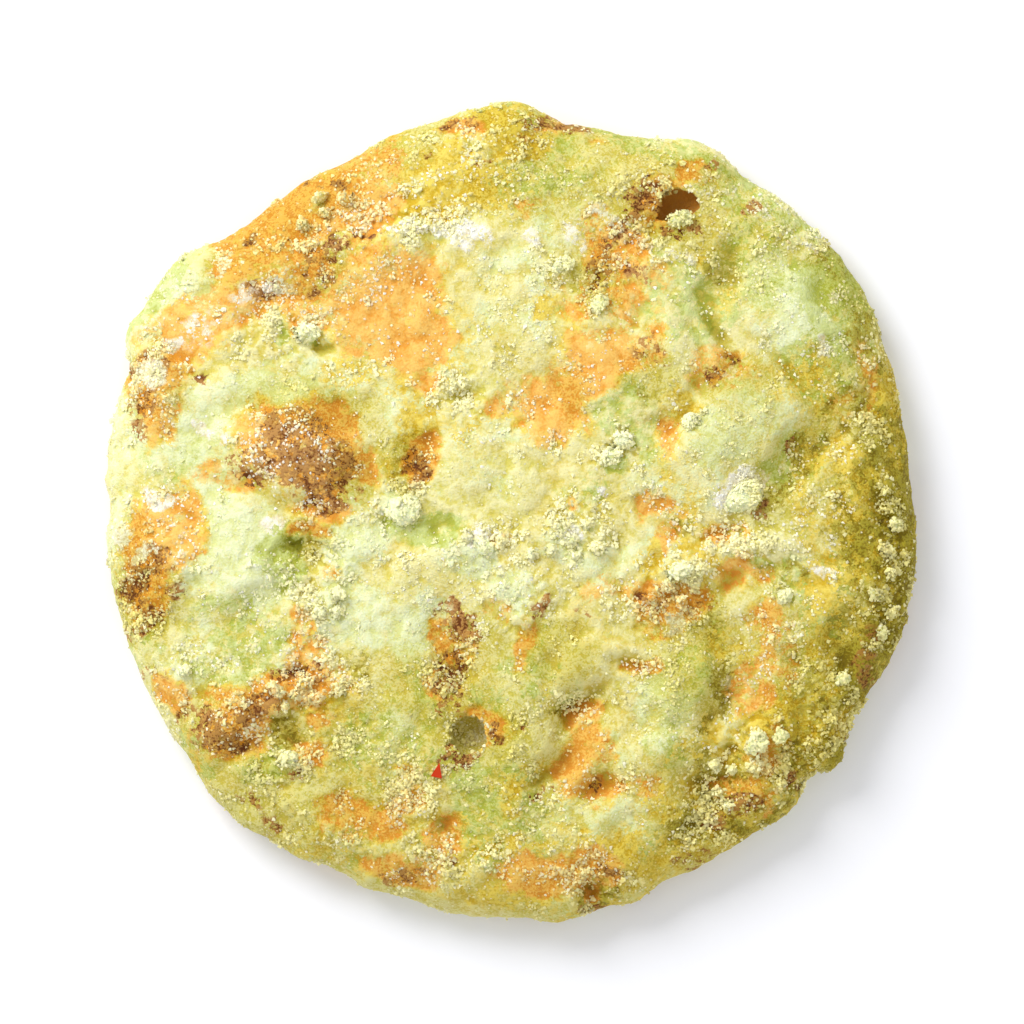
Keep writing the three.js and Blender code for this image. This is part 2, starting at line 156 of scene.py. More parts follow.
# Colour patches on the top. Each strength has its ovals: x, y, half length, half width, and turn if any.
BROWN = {
    1: [(-23.8, -19.4, 2.4, 1.4, 10)],
    0.9: [
        (-14.8, 5, 1.6, 1.6), (13.9, 24.1, 1.2, 0.6, -20), (-26.6, 11.5, 0.6, 0.5),
        (-30.5, -4.5, 1.9, 1.5), (-32.2, -6.2, 1.8, 1.3, 50), (-5, -13.7, 1, 1.5),
    ],
    0.85: [(-17.8, 5.4, 4, 2.8, -25), (-31.2, 12.7, 1.9, 1.6), (-22, -16.8, 2.2, 1.7, 40)],
    0.8: [
        (-21.4, 4, 2.2, 1.7, 20), (-18.2, 3.2, 2.8, 1.8, -20), (-31.2, 9.7, 1.7, 1.2, 70),
        (-31.3, -8.5, 1.4, 1.1), (-25.6, -18.3, 2.2, 1.6, 20), (10.8, 20.3, 1.2, 0.9),
        (-4.4, -9.9, 1.3, 1.1, 30), (-4.3, -21.5, 1.7, 0.8, 10), (-5.2, -20.5, 0.7, 0.9),
        (20, -25, 1.3, 0.8, 20), (-5, -15, 1, 1.1),
    ],
    0.75: [
        (-16, 2.6, 2.4, 1.4, 20), (-21.3, 19, 1.8, 1.2), (-16.2, 21.2, 2.8, 1, 28),
        (7.3, 21.4, 2.1, 1.5, 60), (-8, 3.5, 0.8, 0.9), (-5.5, -16.4, 0.9, 1.2),
    ],
    0.7: [
        (-10.5, -32.1, 1.3, 0.7, -10), (3.6, 33, 3.4, 0.8, -13), (7.9, -31.2, 1.1, 0.7, -40),
        (6.8, -33.5, 1, 0.7), (24.5, -22.7, 0.9, 0.6, 45),
    ],
    0.65: [(9.4, 24.6, 1.8, 1.5, 40)],
    0.6: [
        (-15.4, 1.2, 2, 1, 30), (-16.3, 19.2, 1.1, 0.8), (-32.6, -9.6, 0.9, 0.7),
        (-20.5, -17.5, 1.1, 0.8), (-19, -14, 1.9, 1.2, 20), (-22.5, -25.3, 1.4, 0.7, -50),
        (-20.8, -26.8, 1.4, 0.7, -35), (-4.5, 33, 1.8, 0.8), (11.4, 27.2, 2.4, 1.2, 15),
        (21.3, 0.5, 1.1, 0.7, 40), (-5.5, -8.5, 1.1, 0.9), (2.7, -8.3, 1.2, 0.5, 50),
        (12, -8.3, 1.5, 1.1), (-1.6, -19.5, 0.6, 1), (18, -26.5, 1.2, 0.7, 20), (3, -24.3, 1, 0.8),
    ],
    0.55: [(31, -14, 0.9, 1.6, 20), (29, -18.5, 0.9, 1.5, 30)],
    0.5: [
        (-23.6, 4.9, 1, 0.6), (-22.8, 23, 0.9, 0.7), (-15.8, 28.5, 0.9, 0.7), (-12.3, 23.5, 1.1, 0.8),
        (-32, 7, 1.2, 0.9, 80), (-28.3, -6.9, 1.2, 0.9), (-31, -13.5, 1.2, 0.8),
        (-28.7, -17.3, 1.3, 0.8, 30), (-17, -13.8, 1.4, 1), (-18, -22, 1.2, 0.8), (-8.5, -31, 1.3, 0.8),
        (16, 24, 0.8, 0.6), (17.4, 30, 0.6, 0.5), (20.6, 26.7, 1, 0.6, 45), (-8.4, 4.8, 0.8, 0.8),
        (11.5, 14, 1.8, 1.2), (18.4, 12.2, 1.5, 1), (6.3, -9, 0.7, 0.5), (0.8, -18.2, 0.4, 1, -20),
        (15.5, -30, 2, 0.8, 20), (6.4, 19, 1, 0.8), (31.2, -11.4, 0.8, 1.8, 20),
    ],
    0.45: [
        (-5.5, -30.8, 1, 0.7), (-3.2, 30.1, 1.4, 0.4), (-7.5, 30.2, 0.6, 0.4), (-7.8, 23.8, 0.6, 0.5),
        (23.6, 22.7, 0.6, 0.5), (24.6, 6, 1.2, 0.5, 50), (16, -8.4, 0.9, 0.7), (7.6, -23.8, 0.5, 1.1),
    ],
}
BARE = {
    1: [
        (3.6, 9.4, 3.2, 2.8, 20), (2.8, -31.6, 3.2, 1.3, 25), (-19, 25.4, 7, 2.8, 38),
        (-13, 29.6, 4.4, 2, 25), (-15, 25.6, 5.6, 3.4, 35), (-14.6, 7.2, 3.4, 1.5, -40),
        (-12.6, 4.4, 1.5, 2.6, 10),
    ],
    0.95: [
        (-21.5, 23.5, 5.4, 2.8, 35), (-9.6, 19.3, 3.8, 3.6), (6.8, 12, 3.4, 2.2, 35),
        (-18.2, 5.2, 5.8, 3.6, -15),
    ],
    0.9: [
        (-18.5, 22.5, 3.6, 2.4, 30), (-8.8, 15.2, 3.4, 3.8, 10), (-7.7, 4.7, 1.3, 2.1),
        (15.8, 29.3, 1.5, 1.2), (5.9, -17.1, 1.9, 1.5, 20), (-23, 17.4, 5, 2, 38),
        (-17.6, 19, 3, 2, 20), (-28.6, -1.6, 1.8, 4), (-12.2, 17.6, 4.4, 4.4), (-30.6, -3, 2.8, 4.6),
        (12.2, -8.8, 2.2, 2), (3, -31, 5, 1.8, 5), (7.6, 14.6, 3, 1.6, 20), (-28, -3.4, 1.4, 1.6),
    ],
    0.85: [(13.7, 6.8, 0.9, 1.7, 10), (-18.2, -9.6, 1.4, 1.3, -30), (-14.8, -26.2, 2.6, 1.8)],
    0.8: [
        (10.6, 14.4, 2.6, 1.7, 20), (-31.2, -6.5, 2.2, 3, -20), (12.3, 0.3, 1.9, 1.3),
        (13.3, -7.3, 2, 1.5), (-29.4, -15.6, 1.2, 1.8, 20), (-28, 14.4, 3, 1.8, 30),
        (-29.6, 9.6, 1.6, 4, -20), (-20, -15.4, 4, 2, 10), (-25, -16.6, 3, 2, 30), (13.4, -8.4, 3, 2.2),
        (5.6, -30.4, 3, 1.6, 10), (7.4, -24, 2.4, 1.8), (-16.6, -15, 3, 1.6, 20),
        (-17, 17, 2.6, 1.6, 30), (-14, -27, 2.2, 1.4), (-9.2, -24.2, 2, 1.6), (6, -31.6, 2.4, 1.2),
    ],
    0.75: [
        (5.4, -21.6, 2.4, 1.5, 20), (-5.3, -28, 2.4, 1.9), (-10.8, -26.6, 1.8, 1.6),
        (-24.2, -18.6, 4.4, 2.8, 20),
    ],
    0.7: [
        (-13, 19.5, 3.2, 3, 10), (0.2, 9.4, 2.4, 1.6), (2.6, 7, 2.6, 1.3, 10), (-31, 11, 2.4, 3.6, 10),
        (7, -19.6, 1.6, 1.8, 20), (-10, -31, 4, 1.6, -10), (-26.6, 19, 2.4, 1.2, 40),
        (21.6, -5.2, 1.6, 1), (18.8, -23.4, 2, 1.4, 40), (-16, 0.6, 2.2, 1.6),
    ],
    0.65: [
        (-24, 17.5, 3.4, 2.2, 20), (-16.7, -2.3, 1.7, 0.9), (22.4, -9.6, 2.8, 1.8, -45),
        (9.4, 17.8, 2.8, 1.3),
    ],
    0.6: [
        (-7.5, 11.2, 1.2, 1.6), (4.5, 19.5, 2, 1.4), (-23.8, 2.8, 2.8, 1, -10), (-12.8, 4.8, 1.6, 1.8),
        (-17.6, -12.5, 1.6, 1.8), (10.2, -7, 1.5, 1.2), (18.2, -1.6, 2.4, 0.8),
        (19, -5.2, 2.4, 1.3, 45), (19.8, -15.6, 1.5, 2.2), (10.8, -13.5, 1.6, 0.8),
        (5.4, -24, 2.2, 1.2), (21, -23.8, 2.6, 1.6, -50), (-17, -20.7, 2.2, 1.4), (-3, -18.8, 2.4, 2.2),
        (-4.5, 32.6, 2.6, 1), (3.8, 32.6, 3.8, 1, -13), (1, 11, 2.6, 1.6, 20), (5.6, 18.4, 2.4, 2.4),
        (-30, 16, 3, 1.8, 40), (24, -13, 1.4, 2.2), (28.4, 9.4, 1.4, 1.8),
    ],
    0.55: [(-28, 15, 2.6, 1.8, 20), (11.7, -23.2, 2, 1.4), (-8, -30.4, 2.8, 1)],
    0.5: [
        (-13.2, 14.2, 2, 1.4), (1.5, 26, 1, 0.8), (18.2, 11.8, 2.8, 1.8), (-5.8, -11.2, 1, 1.2),
        (-6.3, -14.5, 0.9, 1.3), (-9.2, -23.6, 1.6, 1.2), (8.5, 22.4, 3.4, 3.6), (13, 26.5, 3.4, 2.4),
        (21.4, -14, 1.4, 3.2), (30.4, 12, 1.6, 3), (6.4, 19.4, 2, 2), (21.6, -21, 3.4, 1.6, 45),
        (1.4, -11.4, 1.2, 2.2), (-26, 4, 2.4, 1, 20),
    ],
    0.45: [(30, 9, 1.8, 1.2), (-15.4, -5.5, 1.2, 0.7), (-1.8, -8.3, 1.5, 0.9), (-0.9, -2.7, 0.9, 0.7)],
    0.4: [
        (11.5, 17.8, 1.8, 1.2), (13.6, -2.4, 0.9, 1.6), (17, 13.5, 1.8, 1.2), (4.5, 0, 1.2, 0.9, 45),
        (-15.5, -17.5, 1.6, 1), (-5, -12.4, 1.8, 4),
    ],
    0.35: [(12.4, 19.6, 1.8, 2)],
    0.3: [(7.4, -6.2, 2.4, 1.2, 45)],
}
WHITE = {
    0.95: [(19.4, 1.7, 2.3, 1.3, 20)],
    0.8: [(-9.8, 24.6, 1.5, 0.8), (-4, 23.3, 2.1, 1.4), (-33, -1.8, 1, 1.4)],
    0.75: [(-31, 12, 1.5, 1.2)],
    0.7: [(-19.8, 19.5, 1.3, 0.8), (-6.5, 24.5, 1.3, 0.9), (-2.7, -2.2, 1.4, 0.9)],
    0.6: [
        (-31, -3.4, 1.1, 0.8), (5.5, -2, 1, 0.8), (13.5, -10.2, 0.9, 0.7), (-3, -19.3, 0.8, 0.9),
        (-24.4, 21.4, 0.8, 0.6),
    ],
    0.5: [
        (-25, 21, 0.9, 0.6), (-28.8, 14.6, 1, 0.7), (1.7, 23.5, 1, 0.8), (5.3, 23.8, 0.9, 0.7),
        (7.5, 25.3, 0.9, 0.7), (14.5, 22.2, 0.9, 0.6), (26, 23.3, 0.8, 0.6), (21.4, 25.6, 0.8, 0.6),
        (28.5, 18.5, 1, 0.8), (-24.8, 6.6, 0.8, 0.6), (-26.9, 6.6, 0.8, 0.6), (-30, 1.5, 1, 0.7),
        (-20.3, -1.2, 1.9, 0.8), (7.3, 1, 0.8, 0.6), (13.8, -11.6, 0.8, 0.6), (18.3, -14.8, 0.9, 0.7),
        (26.5, -5.4, 0.8, 0.6),
    ],
    0.45: [(19.3, 11.2, 0.8, 0.6)],
    0.4: [(26.9, 14.6, 0.8, 0.6), (-21.5, 19.6, 2.4, 1.4, 30)],
    0.35: [(-25, 16.5, 3.4, 1.8, 38)],
}
GREEN = {
    1: [(28.4, 19.4, 2.4, 3.4, 30)],
    0.9: [(-19.4, -4, 2.4, 2.6), (-7.4, -1.2, 3.6, 2), (-1, 34, 3, 1.6)],
    0.8: [
        (-3.4, -25, 2.4, 3.6), (-32.4, 18.2, 1.6, 4, -40), (-29.6, 20.6, 3, 1.6, 40),
        (0.4, -29.8, 3, 2),
    ],
    0.7: [
        (8.8, 4.4, 1.6, 1.2), (28, 17.5, 4, 5, 30), (0, -25.4, 3, 3.4), (-22, -21.4, 3, 2.2, -30),
        (-12.4, -30.6, 3, 1.4, -20), (26, 13, 3.4, 3), (30.4, 3, 2, 3.4), (26.6, -6.4, 2.6, 2.4),
        (17.2, 17.6, 2, 3), (5, 17, 1.4, 1.2), (25.2, 5, 1.6, 2.4, -30), (-5.4, -11.4, 1.2, 1),
    ],
    0.6: [
        (29.5, 14, 2, 4), (0, -29.2, 3.4, 2), (12.2, 6.6, 1.4, 2.2), (17.6, 18, 1.6, 3),
        (26.4, -10, 2.4, 2), (22, -4.4, 3.4, 1.2, -15), (-1.4, -15.8, 1.8, 2),
        (-27, -20.6, 3, 1.4, -45), (12, 32, 6, 1.6, -10), (12.6, 5.4, 1.6, 1.6), (-3, -15.8, 1.4, 1.6),
    ],
    0.55: [(20, 27.5, 4, 2.4, -40), (13.2, 18.4, 2.6, 4.2)],
    0.5: [
        (9.6, 8.6, 2.4, 4, -10), (26, -5.5, 3.6, 2.2), (3, 29.5, 5, 3), (24.5, 24.5, 3, 2.4, -45),
        (-18.4, 15, 2.6, 2), (-20.5, -21, 3.4, 2.2), (23.4, 4, 2, 3, -30), (25.4, 13, 3, 2.6),
        (22.4, -16.4, 2, 2), (-22, -12, 6, 3, 20), (20, 26, 5, 2, -40), (-2, 29, 2, 1.6),
    ],
    0.45: [(1.5, -12.2, 3, 2, 20), (-12, -20, 4, 4)],
    0.4: [
        (-23, -9.4, 5.5, 2.4, 10), (3, -15.5, 3.4, 1.8, 30), (5.4, 1.8, 2.4, 2.2), (-31.5, -12, 2, 2.4),
        (11.8, -28.4, 3, 1.8, 20), (13, -19.6, 2.4, 3), (6.4, -6.4, 1.6, 1.2), (-8.6, 12.4, 2, 1.6),
        (20, 21, 4, 4), (-8, -21, 3, 3), (15, -14, 3, 2.4), (-8, -15, 3, 2.4),
    ],
    0.35: [(-8, -17, 3.4, 3.4), (16.5, -11, 2.4, 2.6)],
    0.3: [(23.5, -13, 2.6, 3.6), (-29.5, 5, 3, 3.4)],
}
PALE = {
    1: [(-24, -4, 5.4, 5.4, 10), (-9.6, 0.4, 2, 1.8), (-28, 19, 4, 2.6, 40), (-31, 18, 4, 2.4, 40)],
    0.9: [
        (-31.5, 17, 3, 3.4, 40), (23.6, 17, 4, 5.6, 20), (-23, 9, 6, 3, 10), (-33.6, 12, 1.6, 6, 10),
    ],
    0.85: [(20, 7.4, 4.6, 4.2)],
    0.8: [
        (-27.5, 7, 4.4, 4.4), (-13, -3.4, 3, 2.6), (13, -17.2, 3, 3.4), (-26, 3, 3, 4),
        (-33.4, -2, 1.6, 6),
    ],
    0.7: [
        (-33.4, 5, 1.8, 6), (23, 9, 2, 3.4, -30), (-15, -7.6, 3.6, 2.6, 30), (0.6, -7, 2.6, 2.2),
        (-4, -4, 3.4, 2), (9, -27, 4.6, 2, 20), (-16, 11, 4, 1.8), (12.4, 2, 3, 3),
        (-15, -10.8, 4, 2.6), (-8, -10, 3.4, 3), (13, -3, 1.6, 1.4), (23, -25, 2.6, 1.4, 30),
    ],
    0.6: [
        (5.4, -2.6, 3.4, 2.4), (-12.6, 0.4, 3.4, 2.6), (10.6, -3.6, 4.6, 1.8),
        (22.6, -19, 2.4, 1.6, 40), (4.4, -33.6, 2.6, 1), (-11, -20, 3, 3), (-26.8, -12, 3, 2, 30),
        (2.8, -26.6, 3, 2.4), (8.4, -4.6, 3, 1.8), (-9, 9, 3, 2), (22, -8, 1.8, 1.4), (9, -20, 2, 2),
        (24.4, 5.4, 1.6, 3.4, -30), (-17.6, 10.6, 4, 1.2), (15, -18.6, 1.6, 2.4), (-13, -30, 3, 1, -20),
    ],
    0.5: [
        (-11.5, -8, 4, 3.4), (-3, 4.6, 4, 4), (-6.4, 24.2, 4.4, 1.8), (16, 3, 2.6, 3), (-5, 14, 3, 3),
        (24.6, 16.6, 3.4, 3.4), (28.4, -9.6, 1.4, 1.6),
    ],
    0.4: [
        (0, 17, 3.6, 6.4), (14.6, -14.4, 3.4, 3.4), (-22, -12.6, 4, 2.4, 20), (-18.6, 11.4, 5, 1.8),
        (26, -17, 1.6, 2.6, 20), (5, 25.6, 4.4, 3),
    ],
}
# Golden tone: partly the crust's own colour, and partly painted shade along the right and lower rim,
# which face away from the light.
GOLD_AND_SHADE = {
    0.95: [(-7, 28, 7, 3.2)],
    0.9: [(33, 2, 3, 15), (0, 33, 5, 2.5), (20, -22, 5, 3, 45)],
    0.8: [(28, 9.4, 2, 2.4)],
    0.7: [
        (30.4, -3.4, 2.6, 6), (28, -16.6, 3.4, 4.4, 30), (20, -23, 11, 7, 40), (5, -31, 13, 4),
        (-16, -15.4, 3, 2), (16.4, 21.4, 1.4, 2), (2.6, 18, 1.8, 1.6),
    ],
    0.6: [
        (-16.5, 15.6, 2.6, 1.6), (27, 2.6, 3.4, 5.4), (26.6, -10.4, 4, 3.4), (30, -4, 6, 17),
        (14, 9.6, 2, 2),
    ],
    0.5: [(0, 32, 4, 1.8)],
    0.45: [(14.2, 2.6, 2.4, 4.6), (19.4, -12.4, 4, 4.4)],
    0.4: [
        (-1.5, 27.5, 4, 2.4), (-6, 8, 4.4, 4.4), (-16, -28.4, 6, 2.2, -25), (14, -4.4, 4.6, 2.4),
        (-12.4, 3.4, 3.4, 4.4), (-18, -16, 7, 3, 10),
    ],
    0.35: [(-12.8, 12, 5, 3.6), (17, 21, 2, 5.4), (2, -24.4, 4, 3.6), (24.4, 11.6, 3.6, 2)],
    0.3: [(-6, -27, 5, 4.4), (-4.6, 15.4, 2.4, 6), (26, 11, 4, 4)],
    0.25: [(-14.8, -20, 6, 6), (-22, -22, 5, 4, -40)],
    0.2: [(22.6, 22.4, 3.4, 2, -40), (8.4, -9.8, 5.4, 2.4), (-10, -26, 14, 8, -10)],
}
# Dark olive: partly the crust's own tone, partly painted shade on the right rim, in valleys and on the
# left wall of the second burst bubble.
OLIVE_AND_SHADE = {
    1: [(31.4, -12, 2.6, 5.4, -22), (29.8, -18.6, 1.6, 5, -32), (34.2, -3, 1.6, 9)],
    0.75: [(32.6, -2, 1.4, 7.4, 6)],
    0.6: [
        (16.4, -20.6, 1.2, 3.6, -10), (15.6, -26.4, 3.6, 2.2, 30), (18.2, -15.4, 1, 3.6),
        (22.2, 1.2, 2.2, 1, 40), (33, 6, 1.2, 5, -10), (27, -20.6, 2, 3, -30), (21, -26.4, 4, 1.3, 35),
        (-4.9, -18.6, 1, 1.5, 30), (26.6, -16, 0.8, 2.4, 10), (31, 14, 1.4, 4, 15), (7, -32.6, 2, 1.2),
    ],
    0.55: [(-19, -19, 1.8, 1.3), (26.2, 7, 1.2, 4.4, -28)],
    0.5: [
        (16.2, -10.2, 1.8, 1.6), (14.2, -1.6, 1, 1.8), (17.2, 20.6, 0.9, 2.6),
        (4.6, -16.2, 1.8, 0.8, 40), (31, -2, 4, 17),
    ],
    0.4: [(23.8, -5.2, 3, 1.2, -20), (-14, -13.8, 2, 1.2)],
    0.35: [(27.6, 21.6, 1.4, 3.4, 40), (24, -22, 10, 6, 40)],
    0.3: [(11.6, 10.4, 1.2, 3)],
    0.25: [(27, -12, 5, 7, 20)],
}
# Where the whole crust is darker: painted shade on the right and lower parts, which face away from the
# light, and a deeper tone in places.
DEEP_TONE_AND_SHADE = {
    1: [
        (28, -16, 6, 9, -30), (-31.5, -7, 3, 4), (31.6, -11, 2.6, 6, -20), (33.8, -4, 1.8, 9),
        (28.6, -20, 1.8, 4, -35), (-0.5, -19.5, 2, 3.4), (31, -11.4, 2, 3.4, -20),
        (29.2, 19.6, 2.4, 5, 35), (31, -5, 3, 4),
    ],
    0.9: [
        (33, 2, 4, 14), (-5, -16.5, 4, 6), (7, 20.5, 3, 3), (15, -14, 4.4, 4.4), (19, 11, 2.4, 2),
        (4, -12, 3.4, 2.6), (15, -11, 3, 2.4), (13.8, 25.8, 4.4, 3), (18, -29, 6, 2, 25),
        (-19, 25.5, 9, 3.6, 38), (-9, 5, 2, 3), (16.6, -11, 3, 4), (0, 33.5, 4, 2),
        (16, 29.6, 4, 1.8, -20),
    ],
    0.8: [
        (27.6, 11, 4, 4), (-12, 31.5, 9, 3, 15), (12.7, 26.4, 3, 2.6), (-32, -3, 1.8, 3.4),
        (-17.5, 8.8, 6, 2.4, -10), (-13.4, 4, 2, 3), (-8, -15, 3.4, 3.4), (-14, -26, 3.4, 3),
    ],
    0.75: [(20, -26, 9, 5, 40)],
    0.7: [
        (-22, -24, 8, 5, -45), (6, 29, 10, 5), (14.6, -9.5, 4.4, 3.4), (-17, 20, 3, 2.5),
        (5.5, 10, 2, 2), (21, 11, 2.4, 2), (15, -24, 4, 5, 20), (-17, -2.6, 2.4, 2.4), (12, 12, 3, 2.4),
        (18, 24, 5, 4),
    ],
    0.6: [
        (8, -32, 11, 4, 12), (-25, -17, 5, 4, 30), (24, 4, 6, 3, 50), (20, 22, 4.4, 5, -40),
        (-14, -20, 8, 6), (-14, -26, 5.4, 4), (-3, -12, 3, 3),
    ],
    0.5: [
        (-10, -31, 11, 4, -15), (0, -22, 13, 9), (-30.5, 11, 3, 4), (-8, -15, 4, 4.4),
        (22.4, -10, 3.4, 4),
    ],
    0.45: [(20, 7, 4.6, 4.2)],
    0.3: [(28, 2, 3.4, 4.4)],
}

# Where the crust is lumpy with crumbs, and where its sugar grains stand out, written the same way.
CRUMBLY = {
    0.9: [
        (-16.4, -4.6, 3.2, 4.6), (-9, 25.2, 5, 2.4), (32.2, -1, 1.8, 4.4), (32, -8, 2, 3.4, 20),
        (22, -21, 4.4, 3.6, 40), (14.4, -5.2, 2.6, 1.4, 10), (5.2, -1.2, 3.2, 2.6), (9.4, 5.4, 2.6, 2),
        (-18.4, -15.6, 5.4, 2.8, 10),
    ],
    0.8: [(27.4, -17, 2.8, 4.2, 20), (-19.4, -21.8, 4, 2)],
    0.7: [
        (-17.6, -9, 2, 2.4), (-8.5, 4.4, 2.2, 3.2), (-17, 21.6, 5.4, 2.2, 25),
        (17.6, -25.6, 4.2, 2.6, 30), (13.2, -8.6, 3.4, 2.8), (19.6, -2.6, 4.6, 1.8, -10),
        (4.4, 20.6, 2.4, 1.8), (8, 19.2, 2.4, 3), (11.4, 25, 4.6, 3.6), (-5, -29.4, 4.4, 2.6),
        (7, -31.6, 3.4, 1.8), (-9, -24, 3.4, 2.2), (23.4, -7.2, 2, 1.8),
    ],
    0.6: [
        (-30.6, 11.6, 3, 3.4), (-19.6, 14.6, 4, 2.6), (1.6, -8, 3.4, 2.4, 30), (-31, -5.4, 3, 5),
        (-13.6, -19.6, 3, 2.4), (-4.6, -16, 2.4, 6), (-2.8, 31.8, 5, 1.6),
    ],
    0.5: [
        (-5, 10.2, 3, 2.4), (-28.4, -14.8, 2, 3), (-24.6, 21.6, 3, 1.8, 20), (24.6, 23.6, 2.4, 2),
        (-2.4, -3.2, 3.6, 2), (-10.4, 0.2, 2.6, 1.8), (0.6, -21, 1.8, 4), (-16, -27.2, 5.4, 1.8, -20),
        (30.6, 8.6, 2, 4),
    ],
    0.3: [(5.4, -16.6, 3, 2.6, 30)],
    0.2: [(9.4, -12.6, 3, 2)],
}
GRAINY = {
    1: [
        (-18, 5, 5.4, 4), (-31.4, -6, 2.8, 4.6), (-31, 11.4, 2.4, 3), (-22, -17.4, 6.4, 3.2, 30),
        (-5, -14.4, 3, 7.4), (8.4, 22, 3.4, 4), (12, 27, 5, 2.6), (16.4, 28.8, 2.4, 2.6),
    ],
    0.9: [
        (-7.6, 24.6, 5, 2), (-16, 21.4, 6.4, 2.2, 28), (18.6, 12, 3, 1.8), (32.4, -5, 2, 7),
        (14, -8.6, 3, 3.4),
    ],
    0.8: [
        (-7, 30, 6, 2.4), (27, 12.6, 3.4, 3), (27, 1, 4, 6.4), (23, -13.6, 4, 4.4), (22.4, -6, 2.6, 2),
        (-20, -26, 7, 2.2, -35), (-7.6, -30.6, 4.4, 1.8), (-8.6, 4.4, 1.6, 3.2), (20, 24, 5, 6, 40),
    ],
    0.7: [(3, 28.4, 6.4, 3.6), (-11, -25.4, 4.4, 3.6), (14, 8, 2, 3), (11.8, 13.8, 2.6, 1.8)],
    0.6: [
        (17.4, -25.4, 4.6, 3, 30), (5.6, -0.6, 3, 2.2), (1.6, -6.4, 2.4, 2.4), (7, -30.6, 3.4, 2),
        (-16.6, -5, 1.8, 4.4), (-24, -14, 6, 6), (15, -15, 5, 5),
    ],
    0.4: [(4, -24, 4.4, 2.4)],
}

GRAIN = 0.4  # the width of a sugar grain

# Fine relief of the crust: width, height and seed of each kind, where the flakes share one seed.
FLAKES = [(1.5, 0.16), (0.75, 0.14)]
FLAKE_SEED = 63
CRUMB_BUMPS = [(1.7, 0.36, 60), (0.85, 0.2, 66)]
CRUMB_BUMP_MEAN = 0.22
SWELLS = [(1.7, 0.12, 71), (0.8, 0.08, 72)]
BLISTER_BUMP = (1.3, 0.24, 75)
BLISTER_BUMP_MEAN = 0.4
BARE_STEP = 0.16  # how far a bare patch lies below the crust
WHITE_MOUND = 0.08
GRAIN_RISE = 0.04
GRAINY_RISE = 0.08
CRUMBLY_RISE = 0.03
SMOOTH_BUMPS = 0.08  # the share of bumps and of flakes that the smoothest crust has
SMOOTH_FLAKES = 0.2
SMOOTH_CLUMPS = 0.3
BARE_FLAKES = 0.4  # the share of flakes and grain that bare patches go without
UNDERSIDE_RELIEF = 0.25  # the share of all of it that the underside has
UNDERSIDE_FADE = (0.2, 1.4)  # the heights between which that grows to all of it

# Loose sugar: crystals in all, crystals to a heap, least and greatest width, share sunk in, seed.
SMALL_CRUMBS = (18000, 9, 0.2, 0.46, 0.5, 7)
CRUST_GRAINS = (20000, 1, 0.2, 0.4, 0.6, 8)
WHITE_GRAINS = (9000, 1, 0.12, 0.42, 0.6, 10)
HEAP_SPREAD = 0.2
SMALLER_WIDTHS = 1.6  # above 1, small widths are commoner than large ones
CRYSTAL_STRAY = 0.35  # how far a crystal's corners are knocked out of shape
LOOSE_CREVICE_SHADE = 0.3  # how much of the painted shade in crevices lumps and loose sugar take
GROUND_SHARE = 1.8  # how much of its ground's facing a grain takes, which evens its shading

# Numbers that keep the cells of different layers and seeds apart.
LAYER_STEP = 17.3
SEED_SHIFT = 31.7


def scattered(i, j, k):
    """The same number between 0 and 1 for the same three numbers, with no visible order."""
    wave = np.sin(i * 127.1 + j * 311.7 + k * 74.7) * 43758.5453
    return wave - np.floor(wave)


SLOW_WANDER = 0.8
QUICK_WANDER = 0.45


def wander(x, y):
    """Where a point of the plan is taken to be, so that ovals get wandering outlines."""
    slow_x = SLOW_WANDER * np.sin(y / 2.1 + 0.8 * np.sin(x / 3.3))
    slow_y = SLOW_WANDER * np.sin(x / 2.3 + 1.3 + 0.8 * np.sin(y / 2.9))
    quick_x = QUICK_WANDER * np.sin((x + 1.7 * y) / 1.9 + 2.0)
    quick_y = QUICK_WANDER * np.sin((1.6 * x - y) / 1.8 + 0.5)
    return x + slow_x + quick_x, y + slow_y + quick_y


def outline_radius(angle):
    """The rim's distance from the middle."""
    radius = np.full_like(angle, MEAN_RADIUS)
    for direction, half_spread, rise in OUTLINE_SWELLS:
        away = (np.degrees(angle) - direction + 180) % 360 - 180
        radius += rise * np.exp(-((away / half_spread) ** 4))
    return radius


def oval_reach(dx, dy, half_length, half_width, turn=0):
    """The square of a point's distance from an oval's middle, 1 on its edge."""
    angle = math.radians(turn)
    along = (dx * math.cos(angle) + dy * math.sin(angle)) / half_length
    across = (dy * math.cos(angle) - dx * math.sin(angle)) / half_width
    return along * along + across * across


def puff_height(x, y, cell, height, seed):
    """Height of the shaken-up domes at points of the plan."""
    highest = np.zeros_like(x)
    column = np.floor(x / cell)
    row = np.floor(y / cell)
    for di in (-1, 0, 1):
        for dj in (-1, 0, 1):
            i = column + di
            j = row + dj
            middle_x = (i + scattered(i, j, seed)) * cell
            middle_y = (j + scattered(i, j, seed + 1)) * cell
            reach = cell * (0.55 + 0.45 * scattered(i, j, seed + 2))
            away = ((x - middle_x) ** 2 + (y - middle_y) ** 2) / (reach * reach)
            dome = height * (0.3 + 0.7 * scattered(i, j, seed + 3)) * (1 - away)
            highest = highest + np.maximum(0, dome) ** 3
    return np.cbrt(highest)


def crown_height(x, y):
    """The top without its rounded edge."""
    height = MIDDLE_THICKNESS - CROWN * (x * x + y * y) / MEAN_RADIUS ** 2
    bent_x, bent_y = wander(x, y)
    for middle_x, middle_y, half_length, half_width, turn, rise in RELIEF:
        bent_middle_x, bent_middle_y = wander(middle_x, middle_y)
        dx, dy = bent_x - bent_middle_x, bent_y - bent_middle_y
        reach = oval_reach(dx, dy, half_length, half_width, turn)
        height = height + rise * np.maximum(0, 1 - reach) ** RELIEF_POWER
    return height + puff_height(bent_x, bent_y, PUFF_CELL, PUFF_HEIGHT, PUFF_SEED)


